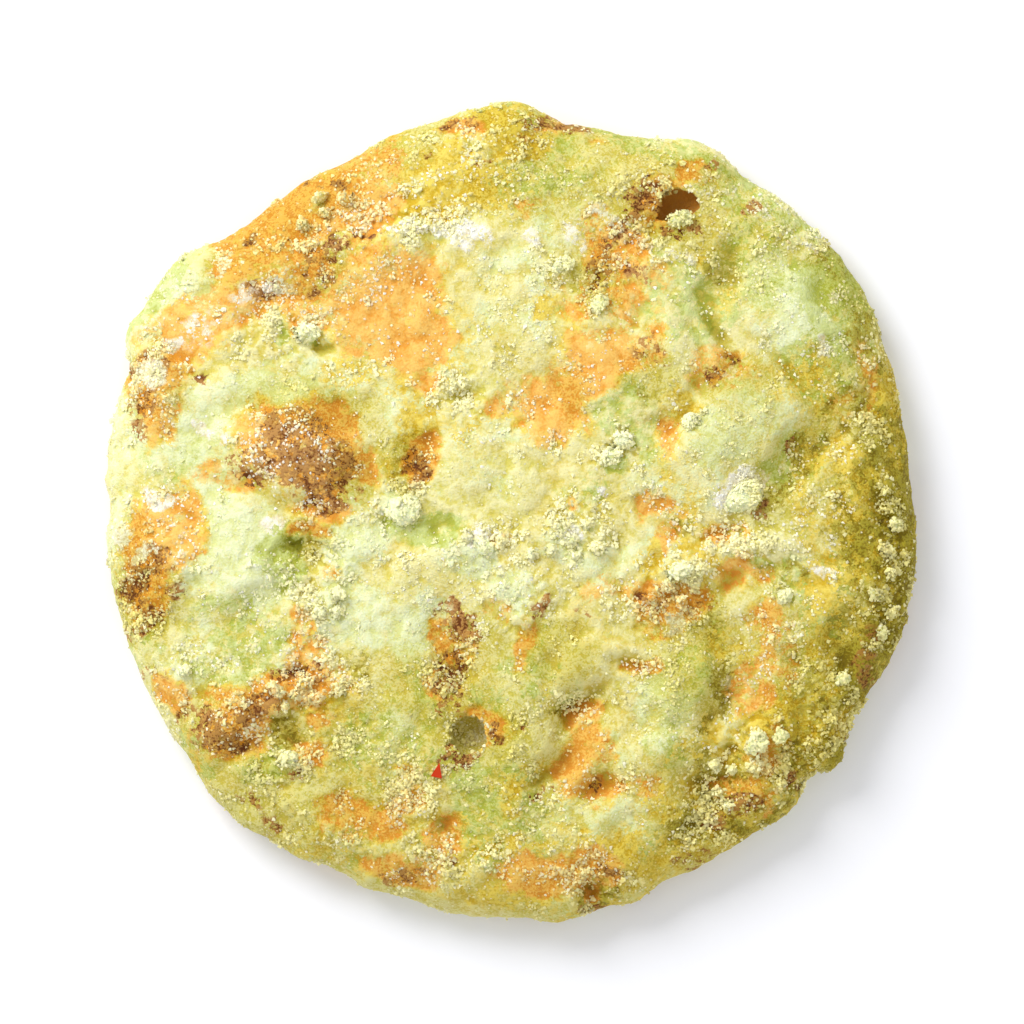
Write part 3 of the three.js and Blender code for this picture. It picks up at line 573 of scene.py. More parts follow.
def quarter_round(inwards, depth):
    """0 at the rim, 1 from the given depth inwards."""
    left = 1 - np.clip(inwards / depth, 0, 1)
    return np.sqrt(1 - left * left)


def smooth_step(value, low, high):
    """0 up to low, 1 from high, and smooth between."""
    part = np.clip((value - low) / (high - low), 0, 1)
    return part * part * (3 - 2 * part)


def at_least(share, mask):
    """A mask that is the share where it was 0, and still 1 where it was 1."""
    return share + (1 - share) * mask


def widest_height(angle):
    """How high the widest part of the rim lies."""
    return WIDEST_HEIGHT + WIDEST_WANDER * np.sin(5 * angle + np.sin(3 * angle))


def top_height(x, y):
    """The top with its rounded edge."""
    angle = np.arctan2(y, x)
    rim = widest_height(angle)
    rounding = quarter_round(outline_radius(angle) - np.hypot(x, y), TOP_EDGE)
    return rim + (crown_height(x, y) - rim) * rounding


def height_at(x, y):
    """The top's height at one place."""
    return float(top_height(np.array([x]), np.array([y]))[0])


def bottom_height(x, y):
    """The underside: flat in the middle, dimpled outside that, rounded up to the rim."""
    angle = np.arctan2(y, x)
    rounding = quarter_round(outline_radius(angle) - np.hypot(x, y), BOTTOM_EDGE)
    off_land = smooth_step(np.hypot(x, y), LAND_RADIUS, 2 * LAND_RADIUS)
    dimple = puff_height(x, y, DIMPLE_CELL, DIMPLE_DEPTH, DIMPLE_SEED) - DIMPLE_DEPTH / 2
    return widest_height(angle) * (1 - rounding) + np.maximum(0, dimple) * off_land * rounding


def lattice_noise(points, cell, seed):
    """Smooth noise from -1 to 1 that changes over about one cell."""
    place = points / cell + SEED_SHIFT * seed
    low = np.floor(place)
    part = place - low
    part = part * part * (3 - 2 * part)
    total = np.zeros(len(points))
    for corner in np.ndindex(2, 2, 2):
        i, j, k = (low + corner).T
        weight = np.prod(np.where(corner, part, 1 - part), axis=1)
        total += weight * scattered(i, j + LAYER_STEP * k, k + seed)
    return 2 * total - 1


def wide_noise(points, cell, seed, spread):
    """Noise round 0 of four sizes, the widest of one cell."""
    total = np.zeros(len(points))
    for octave in range(4):
        total += 0.6 ** octave * lattice_noise(points, cell / 2 ** octave, seed + octave)
    return spread * total


def cells_round(points, cell, seed):
    """For each of the 27 cells round the points: its two numbers, and its middle in cells."""
    low = np.floor(points / cell)
    for shift in np.ndindex(3, 3, 3):
        i, j, k = (low + shift - 1).T
        row = j + LAYER_STEP * k
        strays = [scattered(i, row, seed + axis) for axis in range(3)]
        yield i, row, np.stack([i, j, k]) + strays


def flakes(points, cell, seed):
    """1 in the gaps between ragged flakes, 0 on them, and a number for each flake."""
    stray = [lattice_noise(points, 0.6 * cell, seed + 20 + axis) for axis in range(3)]
    points = points + 0.3 * cell * np.stack(stray, axis=1)
    nearest = np.full(len(points), np.inf)
    second = np.full(len(points), np.inf)
    number = np.zeros(len(points))
    for i, row, middle in cells_round(points, cell, seed):
        away = np.linalg.norm(points.T / cell - middle, axis=0)
        closer = away < nearest
        second = np.where(closer, nearest, np.minimum(second, away))
        number = np.where(closer, scattered(i, row, seed + 3), number)
        nearest = np.minimum(nearest, away)
    return 1 - smooth_step(second - nearest, 0, 0.3), number


def balls(points, cell, seed):
    """Height from 0 to 1 of rounded bumps, one near the middle of each cell of a grid."""
    highest = np.zeros(len(points))
    for i, row, middle in cells_round(points, cell, seed):
        reach = cell * (0.5 + 0.45 * scattered(i, row, seed + 3))
        away = ((points.T - middle * cell) ** 2).sum(0) / (reach * reach)
        bump = at_least(0.35, scattered(i, row, seed + 4)) * np.sqrt(np.maximum(0, 1 - away))
        highest = np.maximum(highest, bump)
    return highest


# ---- masks -------------------------------------------------------------------------------------


FRAYS = [(3.1, 1.0), (1.2, 0.55), (0.5, 0.28)]  # width of the noise, and how far it moves points


def ragged(points):
    """The points of the plan moved about by noise of three sizes, which frays the edges of patches."""
    moved = points[:, :2].copy()
    for size, (cell, stray) in enumerate(FRAYS):
        for axis in (0, 1):
            moved[:, axis] += stray * lattice_noise(points, cell, 3 + 2 * size + axis)
    return moved


def patch_strength(moved, patches, full=0.55, none=1.35):
    """How strongly each point lies in any of the patches, fading out round their edges."""
    strength = np.zeros(len(moved))
    for most, ovals in patches.items():
        for x, y, *oval in ovals:
            reach = np.sqrt(oval_reach(moved[:, 0] - x, moved[:, 1] - y, *oval))
            strength = np.maximum(strength, most * (1 - smooth_step(reach, full, none)))
    return strength


def underside_patches(points, cell, cover, seed):
    """Patches made by noise, which cover more the greater the cover is."""
    return smooth_step(wide_noise(points, cell, seed, 0.85), 0.9 - cover, 1.3 - cover)


HALO = 0.7  # how golden the crust is round a bare patch
HALO_FADE = (0.9, 1.5)
RIM_FADE = (-1.6, -0.4)  # above the rim, where the underside's patches give way to the top's

# Each mask has its patches on the top, and noise of this cell, cover and seed on the underside.
MASKS = {
    "bare": (BARE, 9.0, 0.9, 40),
    "brown": (BROWN, 4.0, 0.55, 42),
    "white": (WHITE, 3.0, 0.35, 44),
    "green": (GREEN, 6.0, 0.8, 46),
    "pale": (PALE, 7.0, 0.9, 48),
    "gold": (GOLD_AND_SHADE, 8.0, 0.9, 50),
    "olive": (OLIVE_AND_SHADE, 5.0, 0.5, 52),
    "deep": (DEEP_TONE_AND_SHADE, 9.0, 0.7, 58),
    "crumbly": (CRUMBLY, 5.0, 0.8, 54),
    "grainy": (GRAINY, 6.0, 0.9, 56),
}

# Noise that the materials read from the points: width, spread, seed.
WAVES = {
    "clumps": (1.4, 0.22, 120),
    "tan": (3.4, 0.45, 130),
    "fray_0": (2.4, 0.42, 140),
    "fray_1": (1.5, 0.42, 150),
}


def masks_at(points):
    """Each mask's strength at points in millimetres."""
    moved = ragged(points)
    moved_points = np.column_stack([moved, points[:, 2]])
    angle = np.arctan2(points[:, 1], points[:, 0])
    on_top = smooth_step(points[:, 2] - widest_height(angle), *RIM_FADE)
    found = {}
    for name, (patches, cell, cover, seed) in MASKS.items():
        above = patch_strength(moved, patches)
        below = underside_patches(moved_points, cell, cover, seed)
        found[name] = below + (above - below) * on_top
    halo = patch_strength(moved, BARE, *HALO_FADE) * on_top
    found["gold"] = np.maximum(found["gold"], HALO * halo)
    return found


# ---- meshes ------------------------------------------------------------------------------------


def ring_angles(count, number):
    """The directions of a ring's points, each a little astray."""
    steps = np.arange(count)
    stray = RING_STRAY * (scattered(steps, number, 11) - 0.5) if count > 1 else 0
    return 2 * np.pi * (steps + stray) / count


def ring_at(radius, angle):
    """A ring's points in the plan."""
    return np.stack([radius * np.cos(angle), radius * np.sin(angle)], axis=1)


def face_rings(step, edge, edge_rings, edge_step):
    """The plan of one face: rings from the middle to the rim, each an array of x and y."""
    rings = [np.zeros((1, 2))]
    flat = MEAN_RADIUS - edge
    flat_rings = round(flat / step)
    for k in range(1, flat_rings + 1):
        angle = ring_angles(round(2 * np.pi * flat * k / flat_rings / step), k)
        stray = 0.5 * RING_STRAY * (scattered(np.arange(len(angle)), k, 13) - 0.5) * (k < flat_rings)
        radius = (outline_radius(angle) - edge) * (k + stray) / flat_rings
        rings.append(ring_at(radius, angle))
    for k in range(1, edge_rings):
        angle = ring_angles(round(2 * np.pi * MEAN_RADIUS / edge_step), k + EDGE_RING_NUMBERS)
        inwards = edge * (1 - math.sin(math.pi * k / (2 * edge_rings)))
        radius = outline_radius(angle) - inwards
        rings.append(ring_at(radius, angle))
    return rings


def stitch(inner, outer, inner_start, outer_start):
    """Triangles between two closed rings, however many points each has."""
    keys = np.concatenate([np.arange(1, outer + 1) / outer, np.arange(1, inner + 1) / inner])
    kinds = np.concatenate([np.zeros(outer, int), np.ones(inner, int)])
    order = np.lexsort((kinds, keys))
    kinds = kinds[order]
    i = np.cumsum(kinds == 1) - (kinds == 1)
    j = np.cumsum(kinds == 0) - (kinds == 0)
    a = inner_start + i % inner
    b = outer_start + j % outer
    c = np.where(kinds == 0, outer_start + (j + 1) % outer, inner_start + (i + 1) % inner)
    triangles = np.stack([a, b, c], axis=1)
    if inner == 1:
        triangles = triangles[kinds == 0]
    if outer == 1:
        triangles = triangles[kinds == 1]
    return triangles


def slab_mesh():
    """Points and triangles of the closed slab, without its finest relief."""
    top = face_rings(TOP_STEP, TOP_EDGE, TOP_EDGE_RINGS, RIM_STEP)
    angle = ring_angles(round(2 * np.pi * MEAN_RADIUS / RIM_STEP), RIM_RING_NUMBER)
    rim = [ring_at(outline_radius(angle), angle)]
    bottom = face_rings(BOTTOM_STEP, BOTTOM_EDGE, BOTTOM_EDGE_RINGS, 2 * RIM_STEP)[::-1]
    above = np.concatenate(top + rim)
    below = np.concatenate(bottom)
    heights = np.concatenate([top_height(*above.T), bottom_height(*below.T)])
    points = np.column_stack([np.concatenate([above, below]), heights])
    counts = [len(ring) for ring in top + rim + bottom]
    starts = np.concatenate([[0], np.cumsum(counts)])
    pairs = zip(counts, counts[1:], starts, starts[1:])
    return points, np.concatenate([stitch(*pair) for pair in pairs])


def point_normals(points, triangles):
    """The way the surface faces at each point."""
    a, b, c = (points[triangles[:, corner]] for corner in range(3))
    faces = np.cross(b - a, c - a)
    normals = np.zeros_like(points)
    for axis in range(3):
        for corner in range(3):
            normals[:, axis] += np.bincount(triangles[:, corner], faces[:, axis], len(points))
    return normals / np.maximum(1e-12, np.linalg.norm(normals, axis=1, keepdims=True))


def blurred(values, triangles, rounds):
    """Values at points, each round replaced by the mean of the point's neighbours."""
    starts = triangles.ravel()
    ends = triangles[:, [1, 2, 0]].ravel()
    count = np.bincount(starts, minlength=len(values)) + np.bincount(ends, minlength=len(values))
    for _ in range(rounds):
        total = np.empty_like(values)
        for axis in range(values.shape[1]):
            onward = np.bincount(starts, values[ends, axis], len(values))
            back = np.bincount(ends, values[starts, axis], len(values))
            total[:, axis] = (onward + back) / count
        values = total
    return values


def relief_at(points, triangles, rounds):
    """How far each point stands above the smoothed surface round it."""
    smoothed = blurred(points, triangles, rounds)
    normals = point_normals(smoothed, triangles)
    return ((points - smoothed) * normals).sum(1)


def crusted(points, triangles):
    """The slab with crumbly bumps, the step down to bare patches, and grain."""
    normals = point_normals(points, triangles)
    masks = masks_at(points)
    crumbly, bare = masks["crumbly"], masks["bare"]
    kept = 1 - BARE_FLAKES * bare
    bumps = sum(height * balls(points, cell, seed) for cell, height, seed in CRUMB_BUMPS)
    rise = at_least(SMOOTH_BUMPS, crumbly) * (bumps - CRUMB_BUMP_MEAN)
    for cell, height in FLAKES:
        gaps, number = flakes(points, cell, FLAKE_SEED)
        rise += height * at_least(SMOOTH_FLAKES, crumbly) * kept * (number - gaps)
    rise += sum(height * lattice_noise(points, cell, seed) for cell, height, seed in SWELLS)
    rise -= BARE_STEP * smooth_step(bare, 0.1, 0.9)
    cell, height, seed = BLISTER_BUMP
    rise += height * masks["brown"] * (balls(points, cell, seed) - BLISTER_BUMP_MEAN)
    rise += WHITE_MOUND * smooth_step(masks["white"], 0.3, 0.7)
    grain = (GRAIN_RISE + GRAINY_RISE * masks["grainy"] + CRUMBLY_RISE * crumbly) * kept
    rise += grain * (scattered(np.arange(len(points)), 1, 5) - 0.5)
    above = smooth_step(points[:, 2], *UNDERSIDE_FADE)
    moved = points + normals * (rise * at_least(UNDERSIDE_RELIEF, above))[:, None]
    moved[:, 2] = np.maximum(moved[:, 2], 0)
    return moved


def new_piece(name, points, triangles, masks, smooth, vectors=None):
    """A Blender object from points in millimetres, with the masks and vectors as attributes."""
    mesh = bpy.data.meshes.new(name)
    mesh.vertices.add(len(points))
    mesh.vertices.foreach_set("co", (points * MM).astype(np.float32).ravel())
    mesh.loops.add(3 * len(triangles))
    mesh.loops.foreach_set("vertex_index", triangles.astype(np.int32).ravel())
    mesh.polygons.add(len(triangles))
    mesh.polygons.foreach_set("loop_start", np.arange(0, 3 * len(triangles), 3, dtype=np.int32))
    mesh.polygons.foreach_set("use_smooth", np.full(len(triangles), smooth))
    mesh.update(calc_edges=True)
    for mask, values in masks.items():
        attribute = mesh.attributes.new(mask, "FLOAT", "POINT")
        attribute.data.foreach_set("value", values.astype(np.float32))
    for vector, values in (vectors or {}).items():
        attribute = mesh.attributes.new(vector, "FLOAT_VECTOR", "POINT")
        attribute.data.foreach_set("vector", values.astype(np.float32).ravel())
    piece = bpy.data.objects.new(name, mesh)
    bpy.context.scene.collection.objects.link(piece)
    return piece


def mesh_arrays(mesh):
    """Points in millimetres and triangles of a Blender mesh."""
    points = np.zeros(3 * len(mesh.vertices), np.float32)
    mesh.vertices.foreach_get("co", points)
    mesh.calc_loop_triangles()
    triangles = np.zeros(3 * len(mesh.loop_triangles), np.int32)
    mesh.loop_triangles.foreach_get("vertices", triangles)
    return points.reshape(-1, 3).astype(float) / MM, triangles.reshape(-1, 3).astype(int)


def discard(piece):
    """Takes a spare object and its mesh out of the file."""
    mesh = piece.data
    bpy.data.objects.remove(piece)
    bpy.data.meshes.remove(mesh)


def ball_mesh(detail):
    """A unit ball of triangles: points at radius 0.5, and triangles."""
    bpy.ops.mesh.primitive_ico_sphere_add(subdivisions=detail, radius=0.5 * MM)
    ball = bpy.context.object
    points, triangles = mesh_arrays(ball.data)
    discard(ball)
    return points, triangles


def turned(points, turn):
    """The points turned about the vertical, by degrees."""
    cosine, sine = math.cos(math.radians(turn)), math.sin(math.radians(turn))
    x = points[:, 0] * cosine - points[:, 1] * sine
    y = points[:, 0] * sine + points[:, 1] * cosine
    return np.column_stack([x, y, points[:, 2]])


def bumpy_ball(detail, seed, roughness):
    """A unit ball with bumps of two widths."""
    points, triangles = ball_mesh(detail)
    shifted = points + 10.0 * seed
    bumps = 0.6 * lattice_noise(shifted, 0.35, 80) + 0.4 * lattice_noise(shifted, 0.16, 81)
    return points * (1 + roughness * bumps)[:, None], triangles


def chipped_ball(detail, place, size, turn, seed):
    """A bumpy ball whose sides are broken off flat, of the given sizes and in its place."""
    points, triangles = bumpy_ball(detail, seed, LUMP_ROUGHNESS)
    sides = np.random.default_rng(seed).normal(size=(CHIPS, 3))
    sides /= np.linalg.norm(sides, axis=1, keepdims=True)
    reach = CHIP_REACH + CHIP_STRAY * scattered(np.arange(CHIPS), seed, 4)
    outwards = points / np.linalg.norm(points, axis=1, keepdims=True)
    furthest = np.min(reach / np.maximum(outwards @ sides.T, 0.3), axis=1)
    points = points * np.minimum(1, furthest / 0.5)[:, None] * np.array(size)
    return turned(points, turn) + np.array(place), triangles


def joined(parts):
    """One set of points and triangles from many."""
    starts = np.cumsum([0] + [len(points) for points, _ in parts[:-1]])
    points = np.concatenate([points for points, _ in parts])
    triangles = np.concatenate([triangles + start for (_, triangles), start in zip(parts, starts)])
    return points, triangles


def bubble_ball(bubble, index):
    """The ball that is cut out, wider below than its mouth."""
    x, y, mouth_length, mouth_width, turn, depth = bubble
    mouth = BUBBLE_MOUTHS[index]
    below_mouth = depth / (1 + 1 / math.sqrt(1 - mouth ** 2))
    half_height = depth - below_mouth
    middle = (x, y, height_at(x, y) - below_mouth)
    size = (2 * mouth_length / mouth, 2 * mouth_width / mouth, 2 * half_height)
    points, triangles = bumpy_ball(BUBBLE_DETAIL, BUBBLE_SEED + index, BUBBLE_ROUGHNESS)
    return turned(points * np.array(size), turn) + np.array(middle), triangles


def make_body():
    """The crusted slab with the burst bubbles cut out of it."""
    slab, slab_triangles = slab_mesh()
    slab = crusted(slab, slab_triangles)
    body = new_piece("body_before_cuts", slab, slab_triangles, {}, True)
    cutters = []
    for index, bubble in enumerate(BURST_BUBBLES):
        cutter = new_piece(f"bubble_{index}", *bubble_ball(bubble, index), {}, True)
        cut = body.modifiers.new(cutter.name, "BOOLEAN")
        cut.operation = "DIFFERENCE"
        cut.solver = "MANIFOLD"
        cut.object = cutter
        cutters.append(cutter)
    bpy.context.view_layer.update()
    evaluated = body.evaluated_get(bpy.context.evaluated_depsgraph_get())
    points, triangles = mesh_arrays(evaluated.data)
    for spare in [body, *cutters]:
        discard(spare)
    return points, triangles


def in_bubbles(points, strengths):
    """Each burst bubble's strength at the points that lie in it, and 0 elsewhere."""
    inside = np.zeros(len(points))
    wider, deeper = BUBBLE_MARGINS
    for bubble, mouth, strength in zip(BURST_BUBBLES, BUBBLE_MOUTHS, strengths):
        x, y, mouth_length, mouth_width, turn, depth = bubble
        reach = oval_reach(points[:, 0] - x, points[:, 1] - y, mouth_length, mouth_width, turn)
        top = height_at(x, y)
        below = strength * smooth_step(top - points[:, 2], *BUBBLE_SHADE)
        within = (reach < wider / mouth ** 2) * (points[:, 2] > top - deeper * depth)
        inside = np.maximum(inside, below * within)
    return inside


# ---- materials ---------------------------------------------------------------------------------


class Nodes:
    """Short ways to add shader nodes and link them."""

    def __init__(self, material):
        self.tree = material.node_tree

    def add(self, kind, inputs=None, **settings):
        node = self.tree.nodes.new(kind)
        for name, value in settings.items():
            setattr(node, name, value)
        for name, value in (inputs or {}).items():
            if isinstance(value, bpy.types.NodeSocket):
                self.tree.links.new(value, node.inputs[name])
            else:
                node.inputs[name].default_value = value
        return node

    def attribute(self, name, output="Fac"):
        return self.add("ShaderNodeAttribute", attribute_name=name).outputs[output]

    def link(self, value, node, socket):
        self.tree.links.new(value, node.inputs[socket])

    def math(self, operation, first, second=0.0, third=0.0):
        node = self.add("ShaderNodeMath", {0: first, 1: second, 2: third}, operation=operation)
        return node.outputs[0]

    def scaled_sum(self, value, scale, rest):
        return self.math("MULTIPLY_ADD", value, scale, rest)

    def vector_math(self, operation, inputs):
        return self.add("ShaderNodeVectorMath", inputs, operation=operation).outputs[0]

    def ramp(self, value, low, high, to_low=0.0, to_high=1.0):
        inputs = {"Value": value, "From Min": low, "From Max": high, "To Min": to_low, "To Max": to_high}
        return self.add("ShaderNodeMapRange", inputs).outputs[0]

    def mix(self, factor, first, second, blend="MIX"):
        node = self.add("ShaderNodeMix", data_type="RGBA", blend_type=blend)
        sockets = [node.inputs[0], node.inputs[6], node.inputs[7]]
        for socket, value in zip(sockets, (factor, first, second)):
            if isinstance(value, bpy.types.NodeSocket):
                self.tree.links.new(value, socket)
            else:
                socket.default_value = value
        return node.outputs[2]


def shade(red, green, blue):
    """A colour that hides what is behind it."""
    return (red, green, blue, 1.0)


# The crust's tones, each with its colour where the crust stands proud and in its gaps. The darker, more
# saturated gap colours are partly the crust's own and partly painted shade, as places lower than their
# neighbours take them.
COAT = (shade(0.83, 0.785, 0.38), shade(0.66, 0.59, 0.11))
TAN_COAT = (shade(0.85, 0.77, 0.36), shade(0.70, 0.55, 0.10))
CRUST_TONES = [
    ("pale", 0.5, shade(0.82, 0.865, 0.53), shade(0.69, 0.715, 0.28)),
    ("green", 0.7, shade(0.63, 0.69, 0.26), shade(0.45, 0.49, 0.07)),
    # The gold tone also serves as painted shade.
    ("gold", 0.7, shade(0.83, 0.66, 0.12), shade(0.62, 0.41, 0.02)),
    # The olive tone also serves as painted shade.
    ("olive", 0.7, shade(0.50, 0.43, 0.06), shade(0.28, 0.21, 0.01)),
    ("bare", 0.6, shade(0.92, 0.57, 0.14), shade(0.78, 0.33, 0.037)),
    ("brown", 1.4, shade(0.52, 0.27, 0.08), shade(0.17, 0.05, 0.01)),
    ("white", 0.9, shade(0.94, 0.92, 0.80), shade(0.74, 0.64, 0.38)),
    ("lump", 0.6, shade(0.92, 0.97, 0.66), shade(0.78, 0.82, 0.34)),
]
# Painted shade along with a deeper tone: what the crust and grains are multiplied by in the darker
# patches.
DEEPENED_AND_SHADED = shade(0.76, 0.73, 0.40)
DEEPENED_AND_SHADED_GRAINS = shade(0.92, 0.88, 0.54)
# Painted shade: the colour that crevices are multiplied by.
CREVICE_SHADE = shade(0.62, 0.56, 0.30)
BUBBLE_WALL = shade(0.60, 0.28, 0.04)
CREAM = shade(0.99, 0.95, 0.60)
SNOW = shade(1.0, 0.98, 0.86)
UNTINTED = shade(1.0, 1.0, 1.0)

# How proud the crust's colour takes a place to be, and how it is speckled. The lift share turns low
# places to the gap colour as painted shade.
PROUD_LEVEL = 0.75
LIFT_SHARE = 6.0
FINE_SIZE = 0.2
FINE_CONTRAST = 3.6
SPECKLE = 0.8
PLAIN_CONTRAST = 0.35
GRAINY_CONTRAST = 0.5
DEEP_AND_SHADED_CONTRAST = 1.4
SHEEN = 0.2
CREVICE_SHADE_DEPTHS = (-0.15, -0.55)  # where the painted shade of a crevice starts, and where it is full
TAN_FADE = (0.0, 0.9)
TAN_STRAY = 0.4  # how much the change to the tan tone varies from grain to grain


def dithered(nodes, mask, chance, fray, spread):
    """A mask whose edge is frayed by noise round 0, and broken up grain by grain."""
    wave = nodes.scaled_sum(nodes.math("SUBTRACT", chance, 0.5), spread, fray)
    near = nodes.ramp(mask, 0.0, 0.35)
    return nodes.ramp(nodes.scaled_sum(wave, near, mask), 0.25, 0.75)


def fine_noise(nodes, position):
    """Noise round 0, finer than a sugar grain."""
    inputs = {"Vector": position, "Scale": 1 / (FINE_SIZE * MM), "Detail": 1.0, "Roughness": 0.6}
    noise = nodes.add("ShaderNodeTexNoise", inputs)
    return nodes.math("MULTIPLY", nodes.math("SUBTRACT", noise.outputs[0], 0.5), FINE_CONTRAST)


def crust_colour(nodes, chances, proud):
    """The crust's colour from the masks, with painted shade in gaps and crevices: chances are the same
    over a grain, proud is 0 in gaps.
    """
    frays = [nodes.attribute("fray_0"), nodes.attribute("fray_1")]
    tan = nodes.ramp(nodes.scaled_sum(chances[1], TAN_STRAY, nodes.attribute("tan")), *TAN_FADE)
    high = nodes.mix(tan, COAT[0], TAN_COAT[0])
    low = nodes.mix(tan, COAT[1], TAN_COAT[1])
    for index, (name, spread, tone_high, tone_low) in enumerate(CRUST_TONES):
        mask = dithered(nodes, nodes.attribute(name), chances[index % 3], frays[index % 2], spread)
        high = nodes.mix(mask, high, tone_high)
        low = nodes.mix(mask, low, tone_low)
    colour = nodes.mix(proud, low, high)
    # Painted shade: places deep in a crevice of the relief are multiplied darker.
    crevice_shade = nodes.mix(nodes.ramp(nodes.attribute("dip"), *CREVICE_SHADE_DEPTHS), UNTINTED, CREVICE_SHADE)
    colour = nodes.mix(1.0, colour, crevice_shade, "MULTIPLY")
    # Painted shade along with a deeper tone, over the darker patches.
    deepened_and_shaded = nodes.mix(nodes.attribute("deep"), UNTINTED, DEEPENED_AND_SHADED)
    colour = nodes.mix(1.0, colour, deepened_and_shaded, "MULTIPLY")
    return nodes.mix(nodes.attribute("hollow"), colour, BUBBLE_WALL)


def grain_chances(nodes, position, size):
    """Each ragged grain's distance field, and three numbers that are the same all over a grain."""
    inputs = {"Vector": position, "Scale": 1.6 / (size * MM), "Detail": 1.0}
    stray = nodes.add("ShaderNodeTexNoise", inputs).outputs["Color"]
    centred = nodes.vector_math("SUBTRACT", {0: stray, 1: (0.5, 0.5, 0.5)})
    shift = nodes.vector_math("SCALE", {0: centred, "Scale": 1.6 * size * MM})
    moved = nodes.vector_math("ADD", {0: position, 1: shift})
    voronoi = nodes.add("ShaderNodeTexVoronoi", {"Vector": moved, "Scale": 1 / (size * MM)})
    parts = nodes.add("ShaderNodeSeparateColor", {0: voronoi.outputs["Color"]})
    return voronoi.outputs["Distance"], parts.outputs


def new_material(name):
    """A material and its surface shader."""
    material = bpy.data.materials.new(name)
    material.use_nodes = True
    return material, material.node_tree.nodes["Principled BSDF"]


def set_sockets(node, values):
    """Sets a shader node's inputs by name."""
    for socket, value in values.items():
        node.inputs[socket].default_value = value


def let_light_in(surface, radius, scale):
    """Makes a surface shader let light spread below the surface, scale in millimetres."""
    surface.subsurface_method = "BURLEY"
    set_sockets(surface, {
        "Specular IOR Level": SHEEN,
        "Subsurface Weight": 1.0,
        "Subsurface Radius": radius,
        "Subsurface Scale": scale * MM,
    })


def crust_material():
    """The sugar crust: pale grains with saturated gaps that are partly painted shade, and light that
    spreads below the surface.
    """
    material, surface = new_material("sugar_crust")
    let_light_in(surface, (1.0, 0.85, 0.3), 0.1)
    nodes = Nodes(material)
    position = nodes.add("ShaderNodeTexCoord").outputs["Object"]
    edge, chances = grain_chances(nodes, position, GRAIN)
    fine = fine_noise(nodes, position)
    speckle = nodes.scaled_sum(nodes.math("SUBTRACT", chances[2], 0.5), SPECKLE, fine)
    speckle = nodes.scaled_sum(nodes.math("SUBTRACT", edge, 0.4), -SPECKLE, speckle)
    contrast = nodes.scaled_sum(nodes.attribute("grainy"), GRAINY_CONTRAST, PLAIN_CONTRAST)
    contrast = nodes.scaled_sum(nodes.attribute("deep"), DEEP_AND_SHADED_CONTRAST, contrast)
    # Painted shade: places lower than their neighbours lean to the gap colour.
    proud = nodes.scaled_sum(nodes.attribute("lift"), LIFT_SHARE, PROUD_LEVEL)
    proud = nodes.math("ADD", proud, nodes.attribute("clumps"))
    proud = nodes.scaled_sum(speckle, contrast, proud)
    nodes.link(crust_colour(nodes, chances, nodes.ramp(proud, 0.0, 1.0)), surface, "Base Color")
    nodes.link(nodes.ramp(chances[1], 0.85, 1.0, 0.75, 0.3), surface, "Roughness")
    height = nodes.scaled_sum(edge, -SPECKLE, fine)
    bump = nodes.add("ShaderNodeBump", {"Strength": 0.35, "Distance": 0.1 * MM, "Height": height})
    nodes.link(bump.outputs[0], surface, "Normal")
    return material


def grain_material(name, share, tint):
    """Loose grains and crumbs: the crust's paler colour with a share of their own tint."""
    material, surface = new_material(name)
    let_light_in(surface, (1.0, 1.0, 0.8), 0.15)
    nodes = Nodes(material)
    chances = nodes.add("ShaderNodeSeparateXYZ", {0: nodes.attribute("chance", "Vector")}).outputs
    colour = crust_colour(nodes, chances, nodes.ramp(chances[0], 0.0, 1.0, 0.4, 1.0))
    own = nodes.ramp(chances[2], 0.0, 1.0, max(0.0, share - 0.4), min(1.0, share + 0.3))
    colour = nodes.mix(own, colour, tint)
    # Painted shade along with a deeper tone, as on the crust.
    deepened_and_shaded = nodes.mix(nodes.attribute("deep"), UNTINTED, DEEPENED_AND_SHADED_GRAINS)
    nodes.link(nodes.mix(1.0, colour, deepened_and_shaded, "MULTIPLY"), surface, "Base Color")
    nodes.link(nodes.ramp(chances[1], 0.0, 1.0, 0.35, 0.7), surface, "Roughness")
    own_facing = nodes.add("ShaderNodeNewGeometry").outputs["Normal"]
    both = nodes.vector_math("ADD", {0: own_facing, 1: nodes.attribute("ground", "Vector")})
    nodes.link(nodes.vector_math("NORMALIZE", {0: both}), surface, "Normal")
    return material


# ---- pieces ------------------------------------------------------------------------------------


def dress(piece, material):
    """Gives a piece its material and body."""
    piece.data.materials.append(material)
    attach(piece, BODY)


LIFT_ROUNDS = 6  # of smoothing, for how far points stand proud of what is next to them
DIP_ROUNDS = 42  # and for how deep they lie in a crevice, which the colour darkens as painted shade


def masks_with_lift(points, triangles):
    """The masks, and what the materials read besides."""
    masks = masks_at(points)
    # How far each point stands proud, which turns low places to the gap colour as painted shade.
    masks["lift"] = relief_at(points, triangles, LIFT_ROUNDS)
    # How deep each point lies in a crevice, for the painted shade there.
    masks["dip"] = relief_at(points, triangles, DIP_ROUNDS)
    masks["hollow"] = in_bubbles(points, BUBBLE_BROWNNESS)
    outside = 1 - in_bubbles(points, [1.0, 1.0])
    for name in ("bare", "brown", "gold"):
        masks[name] *= outside
    masks["lump"] = np.zeros(len(points))
    for name, (cell, spread, seed) in WAVES.items():
        masks[name] = wide_noise(points, cell, seed, spread)
    wide_flakes, small_flakes = (flakes(points, cell, FLAKE_SEED) for cell, _ in FLAKES)
    gaps = small_flakes[0] + wide_flakes[0] - 0.5
    number = small_flakes[1] + wide_flakes[1] - 1
    masks["clumps"] += at_least(SMOOTH_CLUMPS, masks["crumbly"]) * (0.5 * number - 0.8 * gaps)
    return masks


